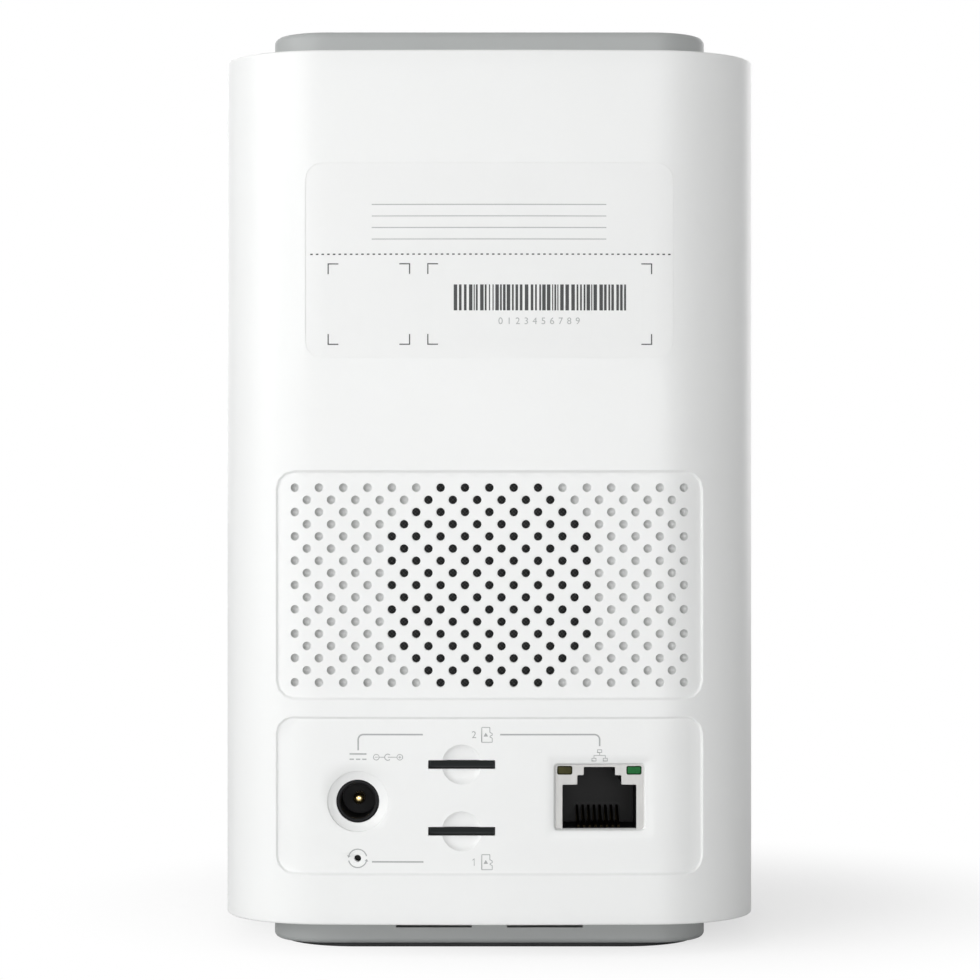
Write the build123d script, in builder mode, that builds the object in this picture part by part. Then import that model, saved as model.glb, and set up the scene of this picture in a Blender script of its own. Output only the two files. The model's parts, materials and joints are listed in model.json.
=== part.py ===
from build123d import *
import os
from math import atan2, degrees, sqrt

# Security camera base station: a white tower with a grey cap and base.
# Millimetres. +Z is up, the port side faces -Y and the status light faces +Y.
# The origin is on the ground under the centre of the rubber foot.

# Driving sizes of the housing
body_width = 96.4
body_height = 154.0
corner_radius = 19.0
face_bulge = 0.6
wall = 2.0
edge_round = 0.4
plinth_inset = 9.2
plinth_corner = 12.0
cap_reveal = 4.5
base_reveal = 4.5
foot_proud = 0.8

# Driving sizes of the two back panels, and their places above the board and each other
panel_margin = 10.4
panel_corner = 3.3
panel_depth = 0.45
panel_gap = 2.85
grille_height = 40.5
port_height = 28.0
port_rise = 7.0

# Driving places of the electronics
board_top = 21.0
board_thickness = 1.6
jack_x = 19.38
power_x = -23.2
power_rise = 6.0
card_x = -4.88
card_rise = 0.8
card_spacing = 11.75
reset_drop = 2.4
light_rise = 1.6
speaker_ear_setback = 6.9
speaker_box_depth = 23.6

# Clearances
slip = 0.15
seat = 0.05
running = 0.1
free_gap = 0.3
overrun = 1.0

# Levels and half sizes that follow
half = body_width / 2
body_bottom = foot_proud + base_reveal
body_top = body_bottom + body_height
plinth_width = body_width - 2 * plinth_inset
panel_width = body_width - 2 * panel_margin
port_z = board_top + port_rise
grille_z = port_z + (port_height + grille_height) / 2 + panel_gap
board_bottom = board_top - board_thickness
power_z = board_top + power_rise
reset_z = board_bottom - reset_drop
light_z = board_top + light_rise
speaker_ear_y = speaker_ear_setback - half
box_rear = speaker_ear_y + speaker_box_depth
side_arc = ((half - corner_radius) ** 2 + face_bulge**2) / (2 * face_bulge)
arc_centre = side_arc - half

# Centre of a round corner, along x and y alike, where it meets both side arcs
corner_centre = (sqrt(2 * (side_arc - corner_radius) ** 2 - arc_centre**2) - arc_centre) / 2
corner_reach = corner_centre * sqrt(2) + corner_radius
corner_wall_reach = corner_reach - wall / 2
plinth_reach = (plinth_width / 2 - plinth_corner) * sqrt(2) + plinth_corner

on_top = (Align.CENTER, Align.CENTER, Align.MIN)
hung = (Align.CENTER, Align.CENTER, Align.MAX)
behind = (Align.CENTER, Align.MIN, Align.MIN)
os.makedirs("parts", exist_ok=True)


def body_outline(inset):
    """Plan of the body moved inwards: four shallow arcs joined by round corners."""
    reach = half - inset
    corner = (sqrt(2 * (side_arc - inset) ** 2 - arc_centre**2) - arc_centre) / 2
    corners = [(-corner, -corner), (corner, -corner), (corner, corner), (-corner, corner)]
    middles = [(0, -reach), (reach, 0), (0, reach), (-reach, 0)]
    with BuildSketch() as outline:
        with BuildLine():
            for start, middle, end in zip(corners, middles, corners[1:] + corners[:1]):
                ThreePointArc(start, middle, end)
        make_face()
        fillet(outline.vertices(), corner_radius - inset)
    return outline.sketch


def rear_face(x, inset):
    """The y of the back face at a given x, moved into the body by an inset."""
    return arc_centre - sqrt((side_arc - inset) ** 2 - x**2)


def rear_plane(x, z, inset):
    """Plane on the back face at a place, facing out of the body."""
    y = rear_face(x, inset)
    return Plane(origin=(x, y, z), x_dir=(arc_centre - y, x, 0), z_dir=(x, y - arc_centre, 0))


def rear_patch(width, height, centre_z, radius, outer_inset, inner_inset):
    """Piece of the back wall between two insets, cut to a rounded rectangle."""
    outer = body_outline(outer_inset)
    inner = body_outline(inner_inset)
    with BuildPart() as patch:
        with BuildSketch(Plane.XY.offset(centre_z - height / 2 - overrun)):
            add(outer)
            add(inner, mode=Mode.SUBTRACT)
        extrude(amount=height + 2 * overrun)
        with BuildSketch(Plane.XZ.offset(half + overrun)):
            with Locations((0, centre_z)):
                RectangleRounded(width, height, radius)
        extrude(amount=-(corner_radius + overrun), mode=Mode.INTERSECT)
    return patch.part


outer_outline = body_outline(0)
inner_outline = body_outline(wall)
panel_inner = wall + seat

# Welding flange inside the wall round each back panel
flange_lap = 1.0
flange_depth = 1.2
flange_margin = 1.5

# White sleeve: wall, top shoulder round the cap's mouth, and the bosses moulded inside it
shoulder = 2.2
mouth_inset = 3.0
mouth_corner = 9.0
base_screw_inset = 5.68
base_boss_radius = 3.5
base_boss_height = 10.0
base_flange = 2.0
rib = 1.6
base_screw_radius = 1.5
base_pilot_depth = 8.5
ear_inset = 6.5
ear_y = 14.0
ear_boss_radius = 3.0
ear_boss_height = 6.0
chassis_bottom = 10.0
chassis_plate = 2.0
small_screw_radius = 1.25
small_pilot_depth = 5.0
top_boss_inset = 6.36
top_boss_radius = 3.0
top_boss_height = 7.0
light_radius = 1.5
label_width = 64.6
label_height = 34.1
label_drop = 37.05
label_corner = 2.8
label_depth = 0.15
label_thickness = 0.12

mouth_width = plinth_width - 2 * mouth_inset
base_screw_reach = plinth_reach - base_screw_inset
top_boss_reach = corner_reach - wall - top_boss_inset
ear_x = half - ear_inset
label_z = body_top - label_drop
flange_top = body_bottom + base_flange
chassis_top = chassis_bottom + chassis_plate
shoulder_bottom = body_top - shoulder
top_boss_bottom = shoulder_bottom - top_boss_height
label_recess = rear_patch(label_width + 2 * slip, label_height + 2 * slip, label_z,
                          label_corner, -overrun, label_depth)

with BuildPart() as outer_sleeve:
    with BuildSketch(Plane.XY.offset(body_bottom)):
        add(outer_outline)
    extrude(amount=body_height)
    fillet(outer_sleeve.faces().sort_by(Axis.Z)[-1].edges(), edge_round)
    fillet(outer_sleeve.faces().sort_by(Axis.Z)[0].edges(), edge_round)
    with BuildSketch(Plane.XY.offset(body_bottom)):
        add(inner_outline)
    extrude(amount=body_height - shoulder, mode=Mode.SUBTRACT)
    with BuildSketch(Plane.XY.offset(shoulder_bottom)):
        RectangleRounded(mouth_width, mouth_width, mouth_corner)
    extrude(amount=shoulder + overrun, mode=Mode.SUBTRACT)
    # Windows of the two back panels
    with BuildSketch(Plane.XZ.offset(half + overrun)):
        with Locations((0, grille_z)):
            RectangleRounded(panel_width, grille_height, panel_corner)
        with Locations((0, port_z)):
            RectangleRounded(panel_width, port_height, panel_corner)
    extrude(amount=-(corner_radius / 2 + overrun), mode=Mode.SUBTRACT)
    add(label_recess, mode=Mode.SUBTRACT)
    # Corner bosses for the base screws, each on a rib to its corner
    with BuildSketch(Plane.XY.offset(flange_top)):
        with PolarLocations(base_screw_reach, 4, start_angle=45):
            Circle(base_boss_radius)
            Rectangle(corner_wall_reach - base_screw_reach, rib, align=(Align.MIN, Align.CENTER))
    extrude(amount=base_boss_height)
    with BuildSketch(Plane.XY.offset(flange_top)):
        with PolarLocations(base_screw_reach, 4, start_angle=45):
            Circle(base_screw_radius + seat)
    extrude(amount=base_pilot_depth, mode=Mode.SUBTRACT)
    # Side bosses for the chassis, two on each side wall
    with BuildSketch(Plane.XY.offset(chassis_top)):
        with GridLocations(2 * ear_x, 2 * ear_y, 2, 2):
            Circle(ear_boss_radius)
        with GridLocations(half - wall / 2 + ear_x, 2 * ear_y, 2, 2):
            Rectangle(half - wall / 2 - ear_x, 2 * rib)
    extrude(amount=ear_boss_height)
    with BuildSketch(Plane.XY.offset(chassis_top)):
        with GridLocations(2 * ear_x, 2 * ear_y, 2, 2):
            Circle(small_screw_radius + seat)
    extrude(amount=small_pilot_depth, mode=Mode.SUBTRACT)
    # Top corner bosses for the antenna carrier, under the shoulder
    with BuildSketch(Plane.XY.offset(top_boss_bottom)):
        with PolarLocations(top_boss_reach, 4, start_angle=45):
            Circle(top_boss_radius)
            Rectangle(corner_wall_reach - top_boss_reach, rib, align=(Align.MIN, Align.CENTER))
    extrude(amount=top_boss_height)
    with BuildSketch(Plane.XY.offset(top_boss_bottom)):
        with PolarLocations(top_boss_reach, 4, start_angle=45):
            Circle(small_screw_radius + seat)
    extrude(amount=small_pilot_depth, mode=Mode.SUBTRACT)
    # Hole of the status light in the front wall
    with BuildSketch(Plane.XZ.offset(-(half + overrun))):
        with Locations((0, light_z)):
            Circle(light_radius + seat)
    extrude(amount=wall + 2 * overrun, mode=Mode.SUBTRACT)
outer_sleeve.part.label = "outer_sleeve"
export_step(outer_sleeve.part, "parts/outer_sleeve.step")

# Sticker above the grille, in its shallow recess
rear_label_body = rear_patch(label_width, label_height, label_z, label_corner,
                             label_depth - label_thickness, label_depth)
with BuildPart() as rear_label:
    add(rear_label_body)
rear_label.part.label = "rear_label"
export_step(rear_label.part, "parts/rear_label.step")

# Grille panel: a diagonal lattice of holes, through in a round field and blind around it
hole_radius = 0.75
hole_pitch = 4.29
grille_margin = 2.9
blind_depth = 0.7
field_radius = 4.5 * hole_pitch
speaker_ear_x = 29.0
speaker_ear_rise = 16.5
speaker_boss_radius = 2.5
pocket_radius = 20.4
speaker_screw_radius = 1.0

grille_rows = 1 + int((grille_height - 2 * grille_margin) / (hole_pitch / 2))
grille_columns = 1 + int((panel_width - 2 * grille_margin) / hole_pitch)
through_places = []
blind_places = []
for row in range(grille_rows):
    rise = ((grille_rows - 1) / 2 - row) * hole_pitch / 2
    columns = grille_columns - row % 2
    for column in range(columns):
        x = (column - (columns - 1) / 2) * hole_pitch
        places = through_places if sqrt(x**2 + rise**2) <= field_radius else blind_places
        places.append((x, grille_z + rise))

panel_back = panel_inner + flange_depth
grille_plate = rear_patch(panel_width - 2 * seat, grille_height - 2 * seat, grille_z,
                          panel_corner - seat, panel_depth, panel_inner)
grille_flange = rear_patch(panel_width + 2 * flange_lap, grille_height + 2 * flange_lap, grille_z,
                           panel_corner + flange_lap, panel_inner, panel_back)
speaker_pocket = rear_patch(2 * pocket_radius, 2 * pocket_radius, grille_z,
                            pocket_radius - seat, panel_inner, panel_back + overrun)
blind_band = rear_patch(panel_width - 2 * seat, grille_height - 2 * seat, grille_z,
                        panel_corner - seat, 0, panel_depth + blind_depth)
with BuildPart() as blind_holes:
    add(blind_band)
    with BuildSketch(Plane.XZ.offset(half + overrun)):
        with Locations(*blind_places):
            Circle(hole_radius)
    extrude(amount=-(corner_radius + overrun), mode=Mode.INTERSECT)

with BuildPart() as rear_grille_panel:
    add(grille_plate)
    add(grille_flange)
    add(speaker_pocket, mode=Mode.SUBTRACT)
    # Bosses for the speaker box
    with BuildSketch(Plane.XZ.offset(-speaker_ear_y)):
        with Locations((0, grille_z)):
            with GridLocations(2 * speaker_ear_x, 2 * speaker_ear_rise, 2, 2):
                Circle(speaker_boss_radius)
    extrude(amount=speaker_ear_y - rear_face(speaker_ear_x, wall))
    with BuildSketch(Plane.XZ.offset(-speaker_ear_y)):
        with Locations((0, grille_z)):
            with GridLocations(2 * speaker_ear_x, 2 * speaker_ear_rise, 2, 2):
                Circle(speaker_screw_radius + seat)
    extrude(amount=speaker_ear_y - rear_face(speaker_ear_x, wall), mode=Mode.SUBTRACT)
    with BuildSketch(Plane.XZ.offset(half + overrun)):
        with Locations(*through_places):
            Circle(hole_radius)
    extrude(amount=-(overrun + 2 * wall), mode=Mode.SUBTRACT)
    add(blind_holes.part, mode=Mode.SUBTRACT)
rear_grille_panel.part.label = "rear_grille_panel"
export_step(rear_grille_panel.part, "parts/rear_grille_panel.step")

# Port panel: power, pinhole, two card slots with finger dimples, and the network opening
power_hole_radius = 3.8
power_dish_radius = 5.4
power_dish_depth = 0.7
pinhole_radius = 0.6
slot_width = 11.8
slot_height = 1.53
dimple_radius = 3.55
dimple_depth = 0.9
jack_opening_width = 15.4
jack_opening_height = 11.2
jack_opening_rise = 1.2
jack_opening_corner = 0.5
jack_bevel = 0.45
jack_width = 15.9
jack_height = 13.4
jack_depth = 21.3
jack_setback = 1.6

jack_face_y = jack_setback - half
jack_opening_z = board_top + jack_opening_rise + jack_opening_height / 2
dimple_sphere = (dimple_radius**2 + dimple_depth**2) / (2 * dimple_depth)
dish_angle = 2 * degrees(atan2(power_dish_radius - power_hole_radius, power_dish_depth))
card_levels = {"lower": board_top, "upper": board_top + card_spacing}

port_plate = rear_patch(panel_width - 2 * seat, port_height - 2 * seat, port_z,
                        panel_corner - seat, panel_depth, panel_inner)
port_flange = rear_patch(panel_width + 2 * flange_lap, port_height + 2 * flange_lap, port_z,
                         panel_corner + flange_lap, panel_inner, panel_back)
port_hollow = rear_patch(panel_width - 2 * flange_margin, port_height - 2 * flange_margin, port_z,
                         flange_margin, panel_inner, panel_back + overrun)
with BuildPart() as port_panel:
    add(port_plate)
    add(port_flange)
    add(port_hollow, mode=Mode.SUBTRACT)
    with Locations(rear_plane(power_x, power_z, panel_depth)):
        CounterSinkHole(power_hole_radius, power_dish_radius, depth=2 * wall,
                        counter_sink_angle=dish_angle)
    with Locations(rear_plane(power_x, reset_z, panel_depth)):
        Hole(pinhole_radius, depth=2 * wall)
    for level in card_levels.values():
        slot_face = rear_plane(card_x, level + card_rise, panel_depth)
        with BuildSketch(slot_face):
            Rectangle(slot_width, slot_height)
        extrude(amount=2 * wall, both=True, mode=Mode.SUBTRACT)
        with Locations(slot_face.offset(dimple_sphere - dimple_depth)):
            Sphere(dimple_sphere, mode=Mode.SUBTRACT)
    # Network opening with its bevelled edge, and the pocket that the jack's face stands in
    with BuildSketch(rear_plane(jack_x, jack_opening_z, panel_depth)):
        RectangleRounded(jack_opening_width, jack_opening_height, jack_opening_corner)
    extrude(amount=2 * wall, both=True, mode=Mode.SUBTRACT)
    with BuildSketch(rear_plane(jack_x, jack_opening_z, panel_depth - jack_bevel)):
        RectangleRounded(jack_opening_width + 4 * jack_bevel, jack_opening_height + 4 * jack_bevel,
                         jack_opening_corner + 2 * jack_bevel)
    extrude(amount=-2 * jack_bevel, taper=45, mode=Mode.SUBTRACT)
    with BuildSketch(Plane.XZ.offset(-(jack_face_y - seat))):
        with Locations((jack_x, board_top + jack_height / 2)):
            Rectangle(jack_width + 2 * slip, jack_height + 2 * slip)
    extrude(amount=-2 * wall, mode=Mode.SUBTRACT)
port_panel.part.label = "port_panel"
export_step(port_panel.part, "parts/port_panel.step")

# Grey cap: a lid that rests on the shoulder, with a skirt and four snap hooks under it
cap_wall = 2.0
cap_round = 1.2
skirt_wall = 1.6
skirt_drop = 4.8
hook_length = 10.0
hook_height = 1.9
hook_reach = 1.1

skirt_width = mouth_width - 2 * slip
skirt_bottom = body_top - skirt_drop
with BuildPart() as top_cap:
    with BuildSketch(Plane.XY.offset(body_top)):
        RectangleRounded(plinth_width, plinth_width, plinth_corner)
    extrude(amount=cap_reveal)
    fillet(top_cap.faces().sort_by(Axis.Z)[-1].edges(), cap_round)
    with BuildSketch(Plane.XY.offset(body_top)):
        RectangleRounded(plinth_width - 2 * cap_wall, plinth_width - 2 * cap_wall,
                         plinth_corner - cap_wall)
    extrude(amount=cap_reveal - cap_wall, mode=Mode.SUBTRACT)
    with BuildSketch(Plane.XY.offset(skirt_bottom)):
        RectangleRounded(skirt_width, skirt_width, mouth_corner - slip)
        RectangleRounded(skirt_width - 2 * skirt_wall, skirt_width - 2 * skirt_wall,
                         mouth_corner - slip - skirt_wall, mode=Mode.SUBTRACT)
    extrude(amount=skirt_drop + cap_reveal - cap_wall)
    with BuildSketch(Plane.XY.offset(shoulder_bottom - seat - hook_height)):
        with PolarLocations(skirt_width / 2 - skirt_wall / 2, 4):
            Rectangle(skirt_wall / 2 + slip + hook_reach, hook_length,
                      align=(Align.MIN, Align.CENTER))
    extrude(amount=hook_height)
top_cap.part.label = "top_cap"
export_step(top_cap.part, "parts/top_cap.step")

# Grey base: a plinth with a floor, a flange inside the sleeve and two slots at the back
base_wall = 2.0
base_floor = 2.0
base_round = 1.0
foot_inset = 1.5
foot_corner = 10.5
foot_band = 9.0
foot_recess = 0.8
foot_inner_corner = 4.0
column_radius = 4.0
screw_head_radius = 2.7
screw_head_height = 1.7
vent_length = 13.55
vent_height = 1.65
vent_x = 9.925
vent_corner = 0.4

foot_width = plinth_width - 2 * foot_inset
foot_inner = foot_width - 2 * foot_band
foot_top = foot_proud + foot_recess
head_seat = foot_top + running + screw_head_height
with BuildPart() as base_tray:
    with BuildSketch(Plane.XY.offset(foot_proud)):
        RectangleRounded(plinth_width, plinth_width, plinth_corner)
    extrude(amount=base_reveal)
    fillet(base_tray.faces().sort_by(Axis.Z)[0].edges(), base_round)
    with BuildSketch(Plane.XY.offset(body_bottom)):
        add(body_outline(wall + slip))
    extrude(amount=base_flange)
    with BuildSketch(Plane.XY.offset(foot_proud + base_floor)):
        RectangleRounded(plinth_width - 2 * base_wall, plinth_width - 2 * base_wall,
                         plinth_corner - base_wall)
    extrude(amount=base_reveal + base_flange - base_floor, mode=Mode.SUBTRACT)
    with BuildSketch(Plane.XY.offset(foot_proud)):
        RectangleRounded(foot_width + 2 * slip, foot_width + 2 * slip, foot_corner + slip)
        RectangleRounded(foot_inner - 2 * slip, foot_inner - 2 * slip, foot_inner_corner,
                         mode=Mode.SUBTRACT)
    extrude(amount=foot_recess, mode=Mode.SUBTRACT)
    # Columns that the base screws pass through, their heads under the foot
    with BuildSketch(Plane.XY.offset(foot_top)):
        with PolarLocations(base_screw_reach, 4, start_angle=45):
            Circle(column_radius)
    extrude(amount=flange_top - foot_top)
    with BuildSketch(Plane.XY.offset(foot_top)):
        with PolarLocations(base_screw_reach, 4, start_angle=45):
            Circle(screw_head_radius + slip)
    extrude(amount=head_seat - foot_top, mode=Mode.SUBTRACT)
    with BuildSketch(Plane.XY.offset(foot_top)):
        with PolarLocations(base_screw_reach, 4, start_angle=45):
            Circle(base_screw_radius + running)
    extrude(amount=flange_top - foot_top, mode=Mode.SUBTRACT)
    with BuildSketch(Plane.XZ.offset(plinth_width / 2 + overrun)):
        with Locations((0, body_bottom - vent_height / 2)):
            with GridLocations(2 * vent_x, vent_height, 2, 1):
                RectangleRounded(vent_length, vent_height, vent_corner)
    extrude(amount=-(base_wall + 2 * overrun), mode=Mode.SUBTRACT)
base_tray.part.label = "base_tray"
export_step(base_tray.part, "parts/base_tray.step")

# Rubber foot: a square ring in the recess of the base
with BuildPart() as rubber_foot:
    with BuildSketch():
        RectangleRounded(foot_width, foot_width, foot_corner)
        RectangleRounded(foot_inner, foot_inner, foot_inner_corner + slip, mode=Mode.SUBTRACT)
    extrude(amount=foot_top)
rubber_foot.part.label = "rubber_foot"
export_step(rubber_foot.part, "parts/rubber_foot.step")

# Four base screws, from under the foot into the sleeve's corner bosses
driver_radius = 1.2
driver_depth = 0.9
with BuildPart() as base_screws:
    with PolarLocations(base_screw_reach, 4, start_angle=45):
        with Locations((0, 0, head_seat)):
            Cylinder(screw_head_radius, screw_head_height, align=hung)
            Cylinder(base_screw_radius, flange_top - head_seat + base_pilot_depth - seat, align=on_top)
        with Locations((0, 0, head_seat - screw_head_height)):
            Cylinder(driver_radius, driver_depth, align=on_top, mode=Mode.SUBTRACT)
base_screws.part.label = "base_screws"
export_step(base_screws.part, "parts/base_screws.step")

# Chassis plate: ears under the side bosses and four posts that carry the main board
chassis_width = 72.0
chassis_length = 52.0
chassis_corner = 4.0
chassis_window_width = 46.0
chassis_window_length = 34.0
ear_width = 8.0
ear_gap = 1.5
post_x = 30.0
post_y = 21.0
post_radius = 3.0
ear_end = half - wall - ear_gap
with BuildPart() as board_chassis:
    with BuildSketch(Plane.XY.offset(chassis_bottom)):
        RectangleRounded(chassis_width, chassis_length, chassis_corner)
        with GridLocations(0, 2 * ear_y, 1, 2):
            RectangleRounded(2 * ear_end, ear_width, ear_width / 4)
        RectangleRounded(chassis_window_width, chassis_window_length, chassis_corner,
                         mode=Mode.SUBTRACT)
        with GridLocations(2 * ear_x, 2 * ear_y, 2, 2):
            Circle(small_screw_radius + running, mode=Mode.SUBTRACT)
    extrude(amount=chassis_plate)
    with BuildSketch(Plane.XY.offset(chassis_top)):
        with GridLocations(2 * post_x, 2 * post_y, 2, 2):
            Circle(post_radius)
    extrude(amount=board_bottom - chassis_top)
    with BuildSketch(Plane.XY.offset(board_bottom)):
        with GridLocations(2 * post_x, 2 * post_y, 2, 2):
            Circle(small_screw_radius + seat)
    extrude(amount=-small_pilot_depth, mode=Mode.SUBTRACT)
board_chassis.part.label = "board_chassis"
export_step(board_chassis.part, "parts/board_chassis.step")

# Chassis screws, up through the ears into the sleeve
small_head_radius = 2.3
small_head_height = 1.5
small_driver_radius = 1.0
small_driver_depth = 0.8
with BuildPart() as chassis_screws:
    with GridLocations(2 * ear_x, 2 * ear_y, 2, 2):
        with Locations((0, 0, chassis_bottom)):
            Cylinder(small_head_radius, small_head_height, align=hung)
            Cylinder(small_screw_radius, chassis_plate + small_pilot_depth - seat, align=on_top)
        with Locations((0, 0, chassis_bottom - small_head_height)):
            Cylinder(small_driver_radius, small_driver_depth, align=on_top, mode=Mode.SUBTRACT)
chassis_screws.part.label = "chassis_screws"
export_step(chassis_screws.part, "parts/chassis_screws.step")

# Main board, trimmed to the curve of the sleeve
board_width = 74.0
board_setback = 2.8
board_front = 31.0
board_rear = board_setback - half
with BuildPart() as main_board:
    with BuildSketch(Plane.XY.offset(board_bottom)):
        add(body_outline(panel_back + seat))
        with Locations((0, (board_rear + board_front) / 2)):
            Rectangle(board_width, board_front - board_rear, mode=Mode.INTERSECT)
        with GridLocations(2 * post_x, 2 * post_y, 2, 2):
            Circle(small_screw_radius + running, mode=Mode.SUBTRACT)
    extrude(amount=board_thickness)
main_board.part.label = "main_board"
export_step(main_board.part, "parts/main_board.step")

# Processor, thermal pad and finned heat sink
chip_y = 8.0
chip_size = 17.0
chip_height = 1.4
pad_thickness = 0.5
sink_size = 36.0
sink_base = 2.5
sink_height = 13.0
fin_count = 9
fin_thickness = 1.4
chip_top = board_top + chip_height
sink_bottom = chip_top + pad_thickness
fin_pitch = (sink_size - fin_thickness) / (fin_count - 1)
with BuildPart() as processor_chip:
    with Locations((0, chip_y, board_top)):
        Box(chip_size, chip_size, chip_height, align=on_top)
processor_chip.part.label = "processor_chip"
export_step(processor_chip.part, "parts/processor_chip.step")

with BuildPart() as thermal_pad:
    with Locations((0, chip_y, chip_top)):
        Box(chip_size, chip_size, pad_thickness, align=on_top)
thermal_pad.part.label = "thermal_pad"
export_step(thermal_pad.part, "parts/thermal_pad.step")

with BuildPart() as heat_sink:
    with Locations((0, chip_y, sink_bottom)):
        Box(sink_size, sink_size, sink_base, align=on_top)
        with GridLocations(fin_pitch, 0, fin_count, 1):
            Box(fin_thickness, sink_size, sink_height, align=on_top)
heat_sink.part.label = "heat_sink"
export_step(heat_sink.part, "parts/heat_sink.step")

# Radio shield cans beside the heat sink, their coax plugs and the speaker plug
can_width = 13.0
can_length = 15.0
can_height = 2.2
can_wall = 0.3
can_x = 29.5
can_y = 9.5
coax_plug_x = 29.0
coax_plug_y = -3.0
coax_plug_radius = 1.3
coax_plug_height = 2.0
lead_x = -22.0
lead_drop_gap = 5.0
lead_plug_width = 5.0
lead_plug_length = 4.0
lead_plug_height = 3.6
lead_drop_y = box_rear + lead_drop_gap
with BuildPart() as shield_cans:
    with GridLocations(2 * can_x, 0, 2, 1):
        with Locations((0, can_y, board_top)):
            Box(can_width, can_length, can_height, align=on_top)
            Box(can_width - 2 * can_wall, can_length - 2 * can_wall, can_height - can_wall,
                align=on_top, mode=Mode.SUBTRACT)
shield_cans.part.label = "shield_cans"
export_step(shield_cans.part, "parts/shield_cans.step")

with BuildPart() as board_plugs:
    with GridLocations(2 * coax_plug_x, 0, 2, 1):
        with Locations((0, coax_plug_y, board_top)):
            Cylinder(coax_plug_radius, coax_plug_height, align=on_top)
    with Locations((lead_x, lead_drop_y, board_top)):
        Box(lead_plug_width, lead_plug_length, lead_plug_height, align=on_top)
board_plugs.part.label = "board_plugs"
export_step(board_plugs.part, "parts/board_plugs.step")

# Memory chip and network transformer
memory_y = -16.0
memory_width = 12.0
memory_length = 8.0
memory_height = 1.1
transformer_x = 33.0
transformer_y = -12.5
transformer_width = 7.0
transformer_length = 10.0
transformer_height = 4.0
with BuildPart() as board_chips:
    with Locations((0, memory_y, board_top)):
        Box(memory_width, memory_length, memory_height, align=on_top)
    with Locations((transformer_x, transformer_y, board_top)):
        Box(transformer_width, transformer_length, transformer_height, align=on_top)
board_chips.part.label = "board_chips"
export_step(board_chips.part, "parts/board_chips.step")

# Power parts: two capacitors and an inductor
capacitor_radius = 3.15
capacitor_height = 7.7
capacitor_x = 12.5
capacitor_pitch = 8.0
capacitor_y = -19.5
inductor_x = -32.0
inductor_y = -10.0
inductor_size = 7.0
inductor_height = 4.0
with BuildPart() as power_parts:
    for step in range(2):
        with Locations((capacitor_x + step * capacitor_pitch, capacitor_y, board_top)):
            Cylinder(capacitor_radius, capacitor_height, align=on_top)
    with Locations((inductor_x, inductor_y, board_top)):
        Box(inductor_size, inductor_size, inductor_height, align=on_top)
power_parts.part.label = "power_parts"
export_step(power_parts.part, "parts/power_parts.step")

# Status light: the lamp on the board's front edge and the clear pipe to the front wall
lamp_width = 3.0
lamp_depth = 2.0
lamp_height = 2.6
pipe_rear_gap = 0.4
pipe_flange_radius = 2.6
pipe_flange = 1.4
front_wall = half - wall
with BuildPart() as status_led:
    with Locations((0, board_front - lamp_depth, board_top)):
        Box(lamp_width, lamp_depth, lamp_height, align=behind)
status_led.part.label = "status_led"
export_step(status_led.part, "parts/status_led.step")

with BuildPart() as light_pipe:
    with BuildSketch(Plane.XZ.offset(-(board_front + pipe_rear_gap))):
        with Locations((0, light_z)):
            Circle(light_radius)
    extrude(amount=-(half - board_front - pipe_rear_gap))
    with BuildSketch(Plane.XZ.offset(-(front_wall - seat))):
        with Locations((0, light_z)):
            Circle(pipe_flange_radius)
    extrude(amount=pipe_flange)
light_pipe.part.label = "light_pipe"
export_step(light_pipe.part, "parts/light_pipe.step")

# Network jack: steel shell, black insert, eight contacts and two light windows
shell_wall = 0.25
plug_half_width = 6.55
plug_floor_rise = 0.9
plug_height = 8.05
latch_shoulder_half = 3.9
latch_shoulder_height = 1.65
latch_half = 2.8
latch_height = 1.5
lamp_window_width = 2.6
lamp_window_height = 1.4
lamp_window_rise = 11.45
lamp_window_offset = 6.1
plug_cavity_depth = 13.5
contact_count = 8
contact_pitch = 1.02
contact_size = 0.4
contact_rise = 3.1
contact_setback = 4.4
plug_floor = board_top + plug_floor_rise
plug_top = plug_floor + plug_height
latch_shoulder_top = plug_top + latch_shoulder_height
latch_top = latch_shoulder_top + latch_height
lamp_window_z = board_top + lamp_window_rise
contact_front = jack_face_y + contact_setback
shell_rear = jack_face_y + jack_depth
jack_half_z = board_top + jack_height / 2


def plug_outline():
    """Stepped plug opening: the plug's width, the latch shoulder and the latch."""
    steps = [(plug_half_width, plug_floor), (plug_half_width, plug_top),
             (latch_shoulder_half, plug_top), (latch_shoulder_half, latch_shoulder_top),
             (latch_half, latch_shoulder_top), (latch_half, latch_top)]
    mirrored = [(-across, up) for across, up in reversed(steps)]
    with BuildSketch() as opening:
        with BuildLine():
            Polyline(*steps, *mirrored, close=True)
        make_face()
    return opening.sketch


plug_face = plug_outline()
with BuildPart() as ethernet_jack_shell:
    with BuildSketch(Plane.XZ.offset(-jack_face_y)):
        with Locations((jack_x, jack_half_z)):
            Rectangle(jack_width, jack_height)
    extrude(amount=-jack_depth)
    with BuildSketch(Plane.XZ.offset(-(jack_face_y + shell_wall))):
        with Locations((jack_x, jack_half_z)):
            Rectangle(jack_width - 2 * shell_wall, jack_height - 2 * shell_wall)
    extrude(amount=-jack_depth, mode=Mode.SUBTRACT)
    with BuildSketch(Plane.XZ.offset(-jack_face_y + overrun)):
        with Locations((jack_x, 0)):
            add(plug_face)
        with Locations((jack_x, lamp_window_z)):
            with GridLocations(2 * lamp_window_offset, 0, 2, 1):
                Rectangle(lamp_window_width, lamp_window_height)
    extrude(amount=-(shell_wall + 2 * overrun), mode=Mode.SUBTRACT)
ethernet_jack_shell.part.label = "ethernet_jack_shell"
export_step(ethernet_jack_shell.part, "parts/ethernet_jack_shell.step")

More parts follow.
